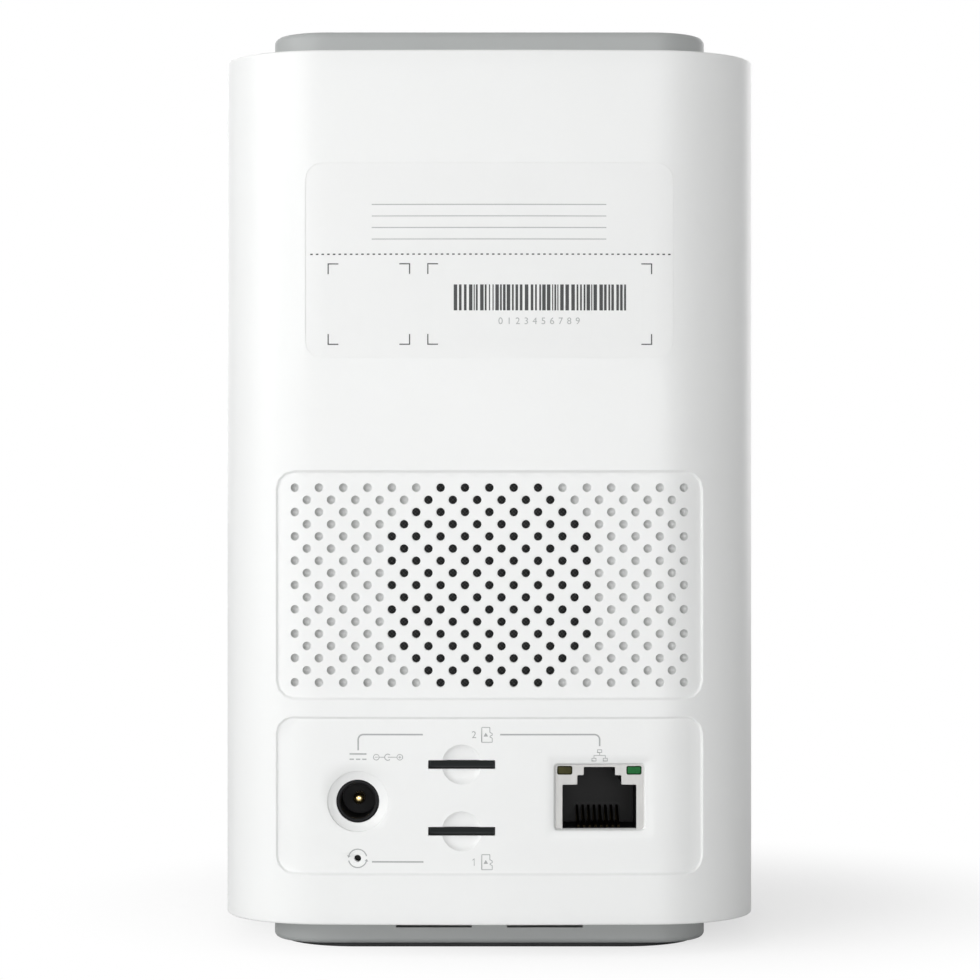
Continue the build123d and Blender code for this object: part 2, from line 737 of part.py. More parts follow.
insert_front = jack_face_y + shell_wall + seat
with BuildPart() as ethernet_jack_insert:
    with BuildSketch(Plane.XZ.offset(-insert_front)):
        with Locations((jack_x, jack_half_z)):
            Rectangle(jack_width - 2 * shell_wall - 2 * seat, jack_height - 2 * shell_wall - 2 * seat)
    extrude(amount=-(shell_rear - insert_front))
    with BuildSketch(Plane.XZ.offset(-insert_front)):
        with Locations((jack_x, 0)):
            add(plug_face)
    extrude(amount=-plug_cavity_depth, mode=Mode.SUBTRACT)
    with BuildSketch(Plane.XZ.offset(-insert_front)):
        with Locations((jack_x, lamp_window_z)):
            with GridLocations(2 * lamp_window_offset, 0, 2, 1):
                Rectangle(lamp_window_width + 2 * seat, lamp_window_height + 2 * seat)
    extrude(amount=-(plug_cavity_depth / 2), mode=Mode.SUBTRACT)
ethernet_jack_insert.part.label = "ethernet_jack_insert"
export_step(ethernet_jack_insert.part, "parts/ethernet_jack_insert.step")

with BuildPart() as ethernet_jack_contacts:
    with BuildSketch(Plane.YZ.offset(jack_x)) as contact_side:
        back = insert_front + plug_cavity_depth
        with BuildLine():
            Polyline((back, plug_floor), (contact_front, plug_floor),
                     (contact_front, plug_floor + contact_size),
                     (back - contact_size, plug_floor + contact_rise),
                     (back, plug_floor + contact_rise),
                     close=True)
        make_face()
        with BuildLine():
            Polyline((back - contact_size, plug_floor + contact_size),
                     (contact_front + 4 * contact_size, plug_floor + contact_size),
                     (back - contact_size, plug_floor + contact_rise - contact_size),
                     close=True)
        make_face(mode=Mode.SUBTRACT)
    extrude(amount=contact_size / 2, both=True)
    with Locations(*[((place - (contact_count - 1) / 2) * contact_pitch, 0, 0)
                     for place in range(contact_count)]):
        add(ethernet_jack_contacts.part, mode=Mode.REPLACE)
ethernet_jack_contacts.part.label = "ethernet_jack_contacts"
export_step(ethernet_jack_contacts.part, "parts/ethernet_jack_contacts.step")

for side, name in ((-1, "jack_light_left"), (1, "jack_light_right")):
    with BuildPart() as jack_light:
        with BuildSketch(Plane.XZ.offset(-jack_face_y - shell_wall / 2)):
            with Locations((jack_x + side * lamp_window_offset, lamp_window_z)):
                Rectangle(lamp_window_width - 2 * seat, lamp_window_height - 2 * seat)
        extrude(amount=-(plug_cavity_depth / 2))
    jack_light.part.label = name
    export_step(jack_light.part, "parts/" + name + ".step")

# Power socket: black housing with a round nose, centre pin and side contact
nose_radius = 3.75
nose_setback = 1.5
nose_length = 1.4
socket_radius = 3.0
socket_depth = 9.0
power_body_width = 9.0
power_body_height = 10.6
power_body_depth = 11.0
pin_radius = 1.0
pin_tip_depth = 4.3
tag_width = 1.6
tag_length = 3.0
tag_setback = 7.0
tag_thickness = 0.3
nose_front = nose_setback - half
power_body_front = nose_front + nose_length
with BuildPart() as dc_jack_housing:
    with Locations((power_x, power_body_front, board_top)):
        Box(power_body_width, power_body_depth, power_body_height, align=behind)
    with BuildSketch(Plane.XZ.offset(-nose_front)):
        with Locations((power_x, power_z)):
            Circle(nose_radius)
    extrude(amount=-(power_body_front - nose_front))
    with BuildSketch(Plane.XZ.offset(-nose_front)):
        with Locations((power_x, power_z)):
            Circle(socket_radius)
    extrude(amount=-socket_depth, mode=Mode.SUBTRACT)
dc_jack_housing.part.label = "dc_jack_housing"
export_step(dc_jack_housing.part, "parts/dc_jack_housing.step")

with BuildPart() as dc_jack_pin:
    with BuildSketch(Plane.XZ.offset(-(nose_front + pin_tip_depth))):
        with Locations((power_x, power_z)):
            Circle(pin_radius)
    extrude(amount=-(socket_depth - pin_tip_depth))
    fillet(dc_jack_pin.faces().sort_by(Axis.Y)[0].edges(), pin_radius / 2)
dc_jack_pin.part.label = "dc_jack_pin"
export_step(dc_jack_pin.part, "parts/dc_jack_pin.step")

with BuildPart() as dc_jack_contact:
    for side in (-1, 1):
        with Locations((power_x + side * (power_body_width + tag_width) / 2,
                        power_body_front + tag_setback, board_top)):
            Box(tag_width, tag_length, tag_thickness, align=behind)
    with Locations((power_x, power_body_front + power_body_depth, board_top)):
        Box(tag_length, tag_width, tag_thickness, align=behind)
dc_jack_contact.part.label = "dc_jack_contact"
export_step(dc_jack_contact.part, "parts/dc_jack_contact.step")

# Reset switch under the board: its button points at the pinhole
switch_width = 4.7
switch_height = 4.2
switch_depth = 3.5
switch_setback = 4.6
button_radius = 0.9
button_reach = 1.5
button_flange_radius = 1.4
button_flange = 0.5
switch_front_wall = 0.8
switch_chamber_depth = 1.7
reset_travel = 0.25
dome_thickness = 0.1
switch_front = switch_setback - half
with BuildPart() as reset_switch_body:
    with Locations((power_x, switch_front, board_bottom - switch_height)):
        Box(switch_width, switch_depth, switch_height, align=behind)
    with BuildSketch(Plane.XZ.offset(-switch_front)):
        with Locations((power_x, reset_z)):
            Circle(button_radius + running)
    extrude(amount=-switch_front_wall, mode=Mode.SUBTRACT)
    with BuildSketch(Plane.XZ.offset(-(switch_front + switch_front_wall))):
        with Locations((power_x, reset_z)):
            Circle(button_flange_radius + 2 * running)
    extrude(amount=-switch_chamber_depth, mode=Mode.SUBTRACT)
reset_switch_body.part.label = "reset_switch_body"
export_step(reset_switch_body.part, "parts/reset_switch_body.step")

button_stop = switch_front + switch_front_wall + seat
with BuildPart() as reset_plunger:
    with BuildSketch(Plane.XZ.offset(-(switch_front - button_reach))):
        with Locations((power_x, reset_z)):
            Circle(button_radius)
    extrude(amount=-(button_stop - switch_front + button_reach))
    with BuildSketch(Plane.XZ.offset(-button_stop)):
        with Locations((power_x, reset_z)):
            Circle(button_flange_radius)
    extrude(amount=-button_flange)
reset_plunger.part.label = "reset_plunger"
export_step(reset_plunger.part, "parts/reset_plunger.step")

dome_front = button_stop + button_flange + reset_travel + seat
with BuildPart() as reset_dome:
    with BuildSketch(Plane.XZ.offset(-dome_front)):
        with Locations((power_x, reset_z)):
            Circle(button_flange_radius)
    extrude(amount=-dome_thickness)
reset_dome.part.label = "reset_dome"
export_step(reset_dome.part, "parts/reset_dome.step")

# Riser board for the upper card socket, on two standoffs and a tall connector
riser_thickness = 1.2
riser_width = 27.0
riser_x = -4.5
riser_length = 24.2
standoff_radius = 2.2
standoff_spread = 11.0
standoff_setback = 3.7
connector_width = 12.0
connector_length = 5.0
connector_inset = 3.3
riser_front = board_rear + riser_length
standoff_y = board_rear + standoff_setback
connector_y = riser_front - connector_inset
riser_bottom = card_levels["upper"] - riser_thickness
with BuildPart() as riser_board:
    with BuildSketch(Plane.XY.offset(riser_bottom)):
        with Locations((riser_x, (board_rear + riser_front) / 2)):
            Rectangle(riser_width, riser_length)
        with Locations((riser_x - standoff_spread, standoff_y), (riser_x + standoff_spread, standoff_y)):
            Circle(small_screw_radius + running, mode=Mode.SUBTRACT)
    extrude(amount=riser_thickness)
riser_board.part.label = "riser_board"
export_step(riser_board.part, "parts/riser_board.step")

with BuildPart() as riser_connector:
    with Locations((card_x, connector_y, board_top)):
        Box(connector_width, connector_length, riser_bottom - board_top, align=on_top)
riser_connector.part.label = "riser_connector"
export_step(riser_connector.part, "parts/riser_connector.step")

with BuildPart() as riser_standoffs:
    with Locations((riser_x - standoff_spread, standoff_y, board_top),
                   (riser_x + standoff_spread, standoff_y, board_top)):
        Cylinder(standoff_radius, riser_bottom - board_top, align=on_top)
        Cylinder(small_screw_radius + seat, riser_bottom - board_top, align=on_top,
                 mode=Mode.SUBTRACT)
riser_standoffs.part.label = "riser_standoffs"
export_step(riser_standoffs.part, "parts/riser_standoffs.step")

# Board screws: four in the chassis posts and two in the riser's standoffs
board_screw_places = [(x, y, board_top, board_thickness)
                      for x in (-post_x, post_x) for y in (-post_y, post_y)]
board_screw_places += [(riser_x + side * standoff_spread, standoff_y, card_levels["upper"],
                        riser_thickness) for side in (-1, 1)]
with BuildPart() as board_screws:
    for x, y, seat_z, clamped in board_screw_places:
        with Locations((x, y, seat_z)):
            Cylinder(small_head_radius, small_head_height, align=on_top)
            Cylinder(small_screw_radius, clamped + small_pilot_depth - seat, align=hung)
        with Locations((x, y, seat_z + small_head_height)):
            Cylinder(small_driver_radius, small_driver_depth, align=hung, mode=Mode.SUBTRACT)
board_screws.part.label = "board_screws"
export_step(board_screws.part, "parts/board_screws.step")

# Push-push card sockets: plastic base, steel cover, sliding catch and its spring
socket_setback = 2.4
socket_length = 15.2
channel_half = 5.6
rail_outer = 6.95
cover_gap = 0.05
cover_thickness = 0.2
socket_floor = 0.35
socket_rise = 1.3
rear_wall = 0.8
catch_left = 5.75
catch_right = 6.55
catch_length = 4.5
catch_setback = 4.0
catch_height = 0.75
catch_arm = 1.2
catch_arm_length = 1.0
spring_radius = 0.35
socket_front = socket_setback - half
for level_name, level in card_levels.items():
    socket_top = level + socket_rise
    with BuildPart() as sd_socket_base:
        with Locations((card_x, socket_front, level)):
            Box(2 * rail_outer, socket_length, socket_rise, align=behind)
        with Locations((card_x, socket_front, level + socket_floor)):
            Box(2 * channel_half, socket_length - rear_wall, socket_rise, align=behind,
                mode=Mode.SUBTRACT)
        with Locations((card_x + (channel_half + catch_right + running) / 2, socket_front + rear_wall,
                        level + socket_floor)):
            Box(catch_right + running - channel_half, socket_length - 2 * rear_wall, socket_rise,
                align=behind, mode=Mode.SUBTRACT)
    sd_socket_base.part.label = "sd_socket_base_" + level_name
    export_step(sd_socket_base.part, "parts/sd_socket_base_" + level_name + ".step")

    cover_half = rail_outer + cover_gap + cover_thickness
    with BuildPart() as sd_socket_shell:
        with Locations((card_x, socket_front, level)):
            Box(2 * cover_half, socket_length, socket_rise + cover_thickness, align=behind)
            Box(2 * (rail_outer + cover_gap), socket_length, socket_rise, align=behind,
                mode=Mode.SUBTRACT)
    sd_socket_shell.part.label = "sd_socket_shell_" + level_name
    export_step(sd_socket_shell.part, "parts/sd_socket_shell_" + level_name + ".step")

    catch_y = socket_front + catch_setback
    catch_bottom = level + socket_floor + seat
    with BuildPart() as sd_slider:
        with Locations((card_x + (catch_left + catch_right) / 2, catch_y, catch_bottom)):
            Box(catch_right - catch_left, catch_length, catch_height, align=behind)
        with Locations((card_x + catch_left - catch_arm / 2,
                        catch_y + catch_length - catch_arm_length, catch_bottom)):
            Box(catch_arm, catch_arm_length, catch_height, align=behind)
    sd_slider.part.label = "sd_slider_" + level_name
    export_step(sd_slider.part, "parts/sd_slider_" + level_name + ".step")

    spring_y = catch_y + catch_length
    spring_end = socket_front + socket_length - rear_wall
    with BuildPart() as sd_spring:
        with BuildSketch(Plane.XZ.offset(-(spring_y + seat))):
            with Locations((card_x + (catch_left + catch_right) / 2, catch_bottom + catch_height / 2)):
                Circle(spring_radius)
                Circle(spring_radius / 2, mode=Mode.SUBTRACT)
        extrude(amount=-(spring_end - spring_y - 2 * seat))
    sd_spring.part.label = "sd_spring_" + level_name
    export_step(sd_spring.part, "parts/sd_spring_" + level_name + ".step")

# Speaker, all about one axis through the middle of the hole field
cloth_radius = 21.5
cloth_thickness = 0.35
gasket_outer = 21.5
gasket_inner = 19.6
speaker_setback = 5.1
flange_outer = 21.5
basket_flange = 1.0
basket_collar = 2.6
basket_bore = 19.6
basket_sheet = 0.8
magnet_outer = 14.0
magnet_inner = 8.5
magnet_thickness = 5.0
top_plate_thickness = 2.0
basket_depth = 10.0
coil_inner = 6.6
coil_outer = 7.0
yoke_plate = 2.5
pole_radius = 6.3
cone_outer = 15.4
cone_setback = 1.1
cone_depth = 4.9
cone_sheet = 0.4
dust_cap_rise = 1.6
coil_length = 6.8
roll_height = 1.4
spider_setback = 1.8
spider_outer = 12.6
spider_sheet = 0.3
speaker_front = speaker_setback - half
top_plate_front = speaker_front + basket_depth
cone_front = speaker_front + cone_setback
cone_rear = cone_front + cone_depth
coil_rear = cone_rear + coil_length
spider_y = cone_rear + spider_setback
speaker_axis = Axis((0, 0, grille_z), (0, 1, 0))
speaker_section = Plane.XY.offset(grille_z)
magnet_front = top_plate_front + top_plate_thickness
magnet_rear = magnet_front + magnet_thickness

cloth_patch = rear_patch(2 * cloth_radius, 2 * cloth_radius, grille_z,
                         cloth_radius - seat, panel_back, panel_back + cloth_thickness)
with BuildPart() as speaker_cloth:
    add(cloth_patch)
speaker_cloth.part.label = "speaker_cloth"
export_step(speaker_cloth.part, "parts/speaker_cloth.step")

with BuildPart() as speaker_gasket:
    with BuildSketch(Plane.XY.offset(grille_z - gasket_outer)):
        add(body_outline(panel_back + cloth_thickness))
    extrude(amount=2 * gasket_outer)
    with BuildSketch(Plane.XZ.offset(-speaker_front)):
        with Locations((0, grille_z)):
            Circle(gasket_outer)
            Circle(gasket_inner, mode=Mode.SUBTRACT)
    extrude(amount=half, mode=Mode.INTERSECT)
speaker_gasket.part.label = "speaker_gasket"
export_step(speaker_gasket.part, "parts/speaker_gasket.step")

# Pressed basket: flat flange, bowl and seat on the top plate, with six windows in the bowl
bowl_outer = magnet_outer
window_width = 7.0
with BuildPart() as speaker_basket:
    with BuildSketch(speaker_section):
        with BuildLine():
            Polyline((flange_outer, speaker_front), (flange_outer, speaker_front + basket_flange),
                     (basket_bore, speaker_front + basket_flange),
                     (basket_bore, speaker_front + basket_collar),
                     (bowl_outer + basket_sheet, top_plate_front),
                     (coil_outer + free_gap + 2 * basket_sheet, top_plate_front),
                     (coil_outer + free_gap + 2 * basket_sheet, top_plate_front - basket_sheet),
                     (bowl_outer, top_plate_front - basket_sheet),
                     (basket_bore - basket_sheet, speaker_front + basket_collar),
                     (basket_bore - basket_sheet, speaker_front), close=True)
        make_face()
    revolve(axis=speaker_axis)
    window_front = speaker_front + basket_collar + basket_sheet
    with BuildSketch(Plane.XZ.offset(-window_front)):
        with Locations((0, grille_z)):
            with PolarLocations(basket_bore - window_width / 4, 6):
                Rectangle(window_width, window_width)
    extrude(amount=-(top_plate_front - basket_sheet - window_front - basket_sheet),
            mode=Mode.SUBTRACT)
speaker_basket.part.label = "speaker_basket"
export_step(speaker_basket.part, "parts/speaker_basket.step")

with BuildPart() as speaker_top_plate:
    with BuildSketch(Plane.XZ.offset(-top_plate_front)):
        with Locations((0, grille_z)):
            Circle(magnet_outer)
            Circle(coil_outer + free_gap, mode=Mode.SUBTRACT)
    extrude(amount=-top_plate_thickness)
speaker_top_plate.part.label = "speaker_top_plate"
export_step(speaker_top_plate.part, "parts/speaker_top_plate.step")

with BuildPart() as speaker_magnet:
    with BuildSketch(Plane.XZ.offset(-magnet_front)):
        with Locations((0, grille_z)):
            Circle(magnet_outer)
            Circle(magnet_inner, mode=Mode.SUBTRACT)
    extrude(amount=-magnet_thickness)
speaker_magnet.part.label = "speaker_magnet"
export_step(speaker_magnet.part, "parts/speaker_magnet.step")

with BuildPart() as speaker_yoke:
    with BuildSketch(Plane.XZ.offset(-magnet_rear)):
        with Locations((0, grille_z)):
            Circle(magnet_outer)
    extrude(amount=-yoke_plate)
    with BuildSketch(Plane.XZ.offset(-top_plate_front)):
        with Locations((0, grille_z)):
            Circle(pole_radius)
    extrude(amount=-(magnet_rear - top_plate_front))
speaker_yoke.part.label = "speaker_yoke"
export_step(speaker_yoke.part, "parts/speaker_yoke.step")

# Paper cone with its dust cap, and the coil former glued in its neck
with BuildPart() as speaker_cone:
    with BuildSketch(speaker_section):
        with BuildLine():
            Polyline((cone_outer, cone_front), (cone_outer, cone_front + cone_sheet),
                     (coil_outer + cone_sheet, cone_rear + cone_sheet), (0, cone_rear + cone_sheet))
            Polyline((0, cone_rear + cone_sheet), (0, cone_rear - dust_cap_rise))
            ThreePointArc((0, cone_rear - dust_cap_rise),
                          (coil_inner / 2, cone_rear - dust_cap_rise * 3 / 4), (coil_inner, cone_rear))
            Polyline((coil_inner, cone_rear), (coil_outer + cone_sheet, cone_rear),
                     (cone_outer, cone_front))
        make_face()
    revolve(axis=speaker_axis)
speaker_cone.part.label = "speaker_cone"
export_step(speaker_cone.part, "parts/speaker_cone.step")

with BuildPart() as voice_coil:
    with BuildSketch(Plane.XZ.offset(-(cone_rear + cone_sheet))):
        with Locations((0, grille_z)):
            Circle(coil_outer)
            Circle(coil_inner, mode=Mode.SUBTRACT)
    extrude(amount=-(coil_rear - cone_rear - cone_sheet))
voice_coil.part.label = "voice_coil"
export_step(voice_coil.part, "parts/voice_coil.step")

# Soft suspension: the half-roll edge of the cone and the flat spider round the coil
edge_inner = cone_outer + seat
edge_outer = basket_bore - basket_sheet - seat
edge_middle = (edge_inner + edge_outer) / 2
with BuildPart() as speaker_suspension:
    with BuildSketch(speaker_section):
        with BuildLine():
            ThreePointArc((edge_inner, cone_front), (edge_middle, cone_front - roll_height / 2),
                          (edge_outer, cone_front))
            Line((edge_outer, cone_front), (edge_outer, cone_front + cone_sheet))
            ThreePointArc((edge_outer, cone_front + cone_sheet),
                          (edge_middle, cone_front + cone_sheet - roll_height / 2),
                          (edge_inner, cone_front + cone_sheet))
            Line((edge_inner, cone_front + cone_sheet), (edge_inner, cone_front))
        make_face()
        with Locations(((coil_outer + seat + spider_outer) / 2, spider_y)):
            Rectangle(spider_outer - coil_outer - seat, spider_sheet)
    revolve(axis=speaker_axis)
speaker_suspension.part.label = "speaker_suspension"
export_step(speaker_suspension.part, "parts/speaker_suspension.step")

# Speaker box: a front frame that clamps the basket, and a deep rear cup
box_width = 52.0
box_height = 48.0
box_corner = 6.0
box_wall = 1.8
box_face = 2.4
box_frame = 3.8
speaker_ear = 2.0
speaker_ear_width = 6.0
speaker_ear_length = 6.0
lead_radius = 1.0
lead_drop = 15.1
lead_z = grille_z - lead_drop
frame_rear = speaker_front + box_frame
with BuildPart() as speaker_box_front:
    with BuildSketch(Plane.XZ.offset(-speaker_front)):
        with Locations((0, grille_z)):
            RectangleRounded(box_width, box_height, box_corner)
    extrude(amount=-box_frame)
    with BuildSketch(Plane.XZ.offset(-(speaker_front + box_face))):
        with Locations((0, grille_z)):
            RectangleRounded(box_width - 2 * box_wall, box_height - 2 * box_wall,
                             box_corner - box_wall)
    extrude(amount=-box_frame, mode=Mode.SUBTRACT)
    # Ears over the panel's bosses
    with BuildSketch(Plane.XZ.offset(-speaker_ear_y)):
        with Locations((0, grille_z)):
            with GridLocations(box_width - box_wall + speaker_ear_length, 2 * speaker_ear_rise, 2, 2):
                Rectangle(box_wall + speaker_ear_length, speaker_ear_width)
    extrude(amount=-speaker_ear)
    with BuildSketch(Plane.XZ.offset(-speaker_ear_y)):
        with Locations((0, grille_z)):
            with GridLocations(2 * speaker_ear_x, 2 * speaker_ear_rise, 2, 2):
                Circle(speaker_screw_radius + running)
    extrude(amount=-speaker_ear, mode=Mode.SUBTRACT)
    # Mouth with the counterbore that the basket's flange lies in
    with BuildSketch(Plane.XZ.offset(-speaker_front)):
        with Locations((0, grille_z)):
            Circle(basket_bore + slip)
    extrude(amount=-box_face, mode=Mode.SUBTRACT)
    with BuildSketch(Plane.XZ.offset(-speaker_front)):
        with Locations((0, grille_z)):
            Circle(flange_outer + slip)
    extrude(amount=-basket_flange, mode=Mode.SUBTRACT)
speaker_box_front.part.label = "speaker_box_front"
export_step(speaker_box_front.part, "parts/speaker_box_front.step")

with BuildPart() as speaker_box_rear:
    with BuildSketch(Plane.XZ.offset(-frame_rear)):
        with Locations((0, grille_z)):
            RectangleRounded(box_width, box_height, box_corner)
    extrude(amount=-(box_rear - frame_rear))
    with BuildSketch(Plane.XZ.offset(-frame_rear)):
        with Locations((0, grille_z)):
            RectangleRounded(box_width - 2 * box_wall, box_height - 2 * box_wall,
                             box_corner - box_wall)
    extrude(amount=-(box_rear - frame_rear - box_wall), mode=Mode.SUBTRACT)
    with BuildSketch(Plane.XZ.offset(-box_rear)):
        with Locations((lead_x, lead_z)):
            Circle(lead_radius + seat)
    extrude(amount=box_wall, mode=Mode.SUBTRACT)
speaker_box_rear.part.label = "speaker_box_rear"
export_step(speaker_box_rear.part, "parts/speaker_box_rear.step")

# Speaker screws, from inside through the ears into the grille panel
speaker_head_radius = 1.9
speaker_head_height = 1.3
speaker_thread = 2.8
with BuildPart() as speaker_screws:
    with Locations((0, speaker_ear_y + speaker_ear, grille_z)):
        with GridLocations(2 * speaker_ear_x, 0, 2, 1):
            with Locations((0, 0, -speaker_ear_rise), (0, 0, speaker_ear_rise)):
                Cylinder(speaker_head_radius, speaker_head_height, rotation=(-90, 0, 0), align=on_top)
                Cylinder(speaker_screw_radius, speaker_ear + speaker_thread, rotation=(90, 0, 0),
                         align=on_top)
speaker_screws.part.label = "speaker_screws"
export_step(speaker_screws.part, "parts/speaker_screws.step")

# Lead from the speaker box down to its plug on the main board
lead_bend = 2.9
with BuildPart() as speaker_lead:
    with BuildLine() as lead_route:
        FilletPolyline((lead_x, box_rear - box_wall, lead_z), (lead_x, lead_drop_y, lead_z),
                       (lead_x, lead_drop_y, board_top + lead_plug_height), radius=lead_bend)
    with BuildSketch(lead_route.line ^ 0):
        Circle(lead_radius)
    sweep()
speaker_lead.part.label = "speaker_lead"
export_step(speaker_lead.part, "parts/speaker_lead.step")

# Antenna carrier: a ring under the top bosses with a hanging plate on each side
carrier_thickness = 2.0
carrier_inset = 2.9
carrier_lip = 3.0
carrier_opening_corner = 8.0
plate_inset = 6.1
plate_thickness = 1.8
plate_length = 38.0
plate_drop = 30.0
antenna_length = 34.0
antenna_height = 12.0
antenna_thickness = 0.4
antenna_drop = 12.0
carrier_bottom = top_boss_bottom - carrier_thickness
carrier_opening = mouth_width - 2 * carrier_lip
plate_x = half - plate_inset
with BuildPart() as antenna_carrier:
    with BuildSketch(Plane.XY.offset(carrier_bottom)):
        add(body_outline(carrier_inset))
        RectangleRounded(carrier_opening, carrier_opening, carrier_opening_corner,
                         mode=Mode.SUBTRACT)
        with PolarLocations(top_boss_reach, 4, start_angle=45):
            Circle(small_screw_radius + running, mode=Mode.SUBTRACT)
    extrude(amount=carrier_thickness)
    for side in (-1, 1):
        with Locations((side * (plate_x + plate_thickness / 2), 0, carrier_bottom)):
            Box(plate_thickness, plate_length, plate_drop, align=hung)
antenna_carrier.part.label = "antenna_carrier"
export_step(antenna_carrier.part, "parts/antenna_carrier.step")

with BuildPart() as antennas:
    for side in (-1, 1):
        with Locations((side * (plate_x + plate_thickness + antenna_thickness / 2), 0,
                        carrier_bottom - antenna_drop)):
            Box(antenna_thickness, antenna_length, antenna_height, align=hung)
antennas.part.label = "antennas"
export_step(antennas.part, "parts/antennas.step")

# Coax cables from the hanging plates down the side walls to the board's plugs
coax_radius = 0.55
coax_y = 6.0
coax_run_rise = 12.0
coax_bend = 4.0
coax_run_z = board_top + coax_run_rise
coax_x = plate_x - coax_radius
coax_top = carrier_bottom - plate_drop / 2
with BuildPart() as antenna_cables:
    for side in (-1, 1):
        with BuildLine() as coax_route:
            FilletPolyline((side * coax_x, coax_y, coax_top), (side * coax_x, coax_y, coax_run_z),
                           (side * coax_plug_x, coax_plug_y, coax_run_z),
                           (side * coax_plug_x, coax_plug_y, board_top + coax_plug_height),
                           radius=coax_bend)
        with BuildSketch(coax_route.line ^ 0):
            Circle(coax_radius)
        sweep(path=coax_route.line)
antenna_cables.part.label = "antenna_cables"
export_step(antenna_cables.part, "parts/antenna_cables.step")

# Antenna screws, up through the carrier into the sleeve
with BuildPart() as antenna_screws:
    with PolarLocations(top_boss_reach, 4, start_angle=45):
        with Locations((0, 0, carrier_bottom)):
            Cylinder(small_head_radius, small_head_height, align=hung)
            Cylinder(small_screw_radius, carrier_thickness + small_pilot_depth - seat, align=on_top)
        with Locations((0, 0, carrier_bottom - small_head_height)):
            Cylinder(small_driver_radius, small_driver_depth, align=on_top, mode=Mode.SUBTRACT)
antenna_screws.part.label = "antenna_screws"
export_step(antenna_screws.part, "parts/antenna_screws.step")
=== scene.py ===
import json
import math

import bmesh
import bpy
import numpy as np
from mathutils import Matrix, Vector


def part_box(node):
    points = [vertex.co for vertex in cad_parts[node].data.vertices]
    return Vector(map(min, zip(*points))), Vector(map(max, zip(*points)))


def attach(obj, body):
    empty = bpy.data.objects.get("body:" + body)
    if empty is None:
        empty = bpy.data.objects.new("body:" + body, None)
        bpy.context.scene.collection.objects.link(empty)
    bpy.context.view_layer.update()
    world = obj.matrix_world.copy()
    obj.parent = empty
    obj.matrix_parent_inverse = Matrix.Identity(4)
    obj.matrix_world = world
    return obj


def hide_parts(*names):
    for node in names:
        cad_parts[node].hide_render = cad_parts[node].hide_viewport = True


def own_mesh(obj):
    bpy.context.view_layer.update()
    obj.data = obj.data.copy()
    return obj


# Looks of a security camera base station: a white tower with a grey cap and base, seen from its port side.
# Shapes are worked out in millimetres and written to the meshes in metres.
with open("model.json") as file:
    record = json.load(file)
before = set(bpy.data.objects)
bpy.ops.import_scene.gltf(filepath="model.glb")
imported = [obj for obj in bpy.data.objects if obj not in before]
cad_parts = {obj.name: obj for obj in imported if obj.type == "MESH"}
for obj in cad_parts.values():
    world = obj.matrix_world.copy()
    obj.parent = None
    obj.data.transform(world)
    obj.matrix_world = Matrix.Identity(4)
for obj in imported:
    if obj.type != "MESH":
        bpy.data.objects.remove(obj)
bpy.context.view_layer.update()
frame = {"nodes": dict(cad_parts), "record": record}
scene = bpy.context.scene
MILLIMETRE = 0.001


def extent(node):
    """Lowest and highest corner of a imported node, in millimetres."""
    low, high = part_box(node)
    return np.array(low) / MILLIMETRE, np.array(high) / MILLIMETRE


def span(node, axis):
    """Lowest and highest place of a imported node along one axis."""
    return [corner[axis] for corner in extent(node)]


def middle(node):
    """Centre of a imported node's box, in millimetres."""
    low, high = extent(node)
    return (low + high) / 2


# Sizes of the housing
body_width = 96.4
corner_radius = 19.0
face_bulge = 0.6
wall = 2.0
edge_round = 0.4
shoulder = 2.2
mouth_width = 72.0
mouth_corner = 9.0
plinth_width = 78.0
plinth_corner = 10.0
cap_round = 1.2
cap_wall = 2.0
skirt_width = 71.7
skirt_wall = 1.6
skirt_corner = 8.85
base_round = 1.0
base_wall = 2.0
base_floor = 2.0
foot_corner = 13.5
foot_band = 9.0
foot_inner_corner = 4.5
foot_inset = 1.5
foot_round = 0.25
flange_corner = 16.0

# Sizes of the back panels
panel_width = 75.6
grille_height = 40.5
port_height = 28.0
panel_corner = 3.3
panel_depth = 0.45
ramp_width = 0.5
label_width = 64.6
label_height = 34.1
label_corner = 2.8
label_depth = 0.15
label_sunk = 0.03
hole_pitch = 4.29
hole_radius = 0.75
blind_depth = 1.45
blind_lip = 0.05
hole_lip = 0.1
lip_flat = 0.06
bowl_steps = 3
panel_back = wall + 0.05
field_radius = 4.5 * hole_pitch
lattice_rows = 17

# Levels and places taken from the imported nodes
X, Y, Z = range(3)
body_bottom, body_top = span("outer_sleeve", Z)
skirt_bottom, cap_top = span("top_cap", Z)
base_bottom, base_top = span("base_tray", Z)
foot_top = span("rubber_foot", Z)[1]
grille_z, port_z, label_z, reset_z, light_z = [middle(node)[Z] for node in (
    "rear_grille_panel", "port_panel", "rear_label", "reset_plunger", "light_pipe")]
jack_x, power_x, card_x = [middle(node)[X] for node in (
    "ethernet_jack_shell", "dc_jack_pin", "sd_socket_base_lower")]
power_z = middle("dc_jack_pin")[Z]
card_rise = 0.8
card_zs = [span("sd_socket_base_" + which, Z)[0] + card_rise for which in ("lower", "upper")]

# Plan of the body: four shallow side arcs joined by round corners
half = body_width / 2
side_arc = ((half - corner_radius) ** 2 + face_bulge**2) / (2 * face_bulge)
arc_centre = side_arc - half
corner_centre = (math.sqrt(2 * (side_arc - corner_radius) ** 2 - arc_centre**2) - arc_centre) / 2
side_turn = math.atan2(corner_centre, corner_centre + arc_centre)
QUARTER = math.pi / 2
back_reach = 40.0


def coords(*axes):
    """Coordinates as points; a number, or a smaller array, is repeated."""
    return np.stack(np.broadcast_arrays(*axes), -1)


def compass(turn):
    """Unit vectors at angles from the first axis."""
    return coords(np.cos(turn), np.sin(turn))


def heading(turn):
    """Unit vectors at angles from the second axis, pointing down it."""
    return coords(np.sin(turn), -np.cos(turn))


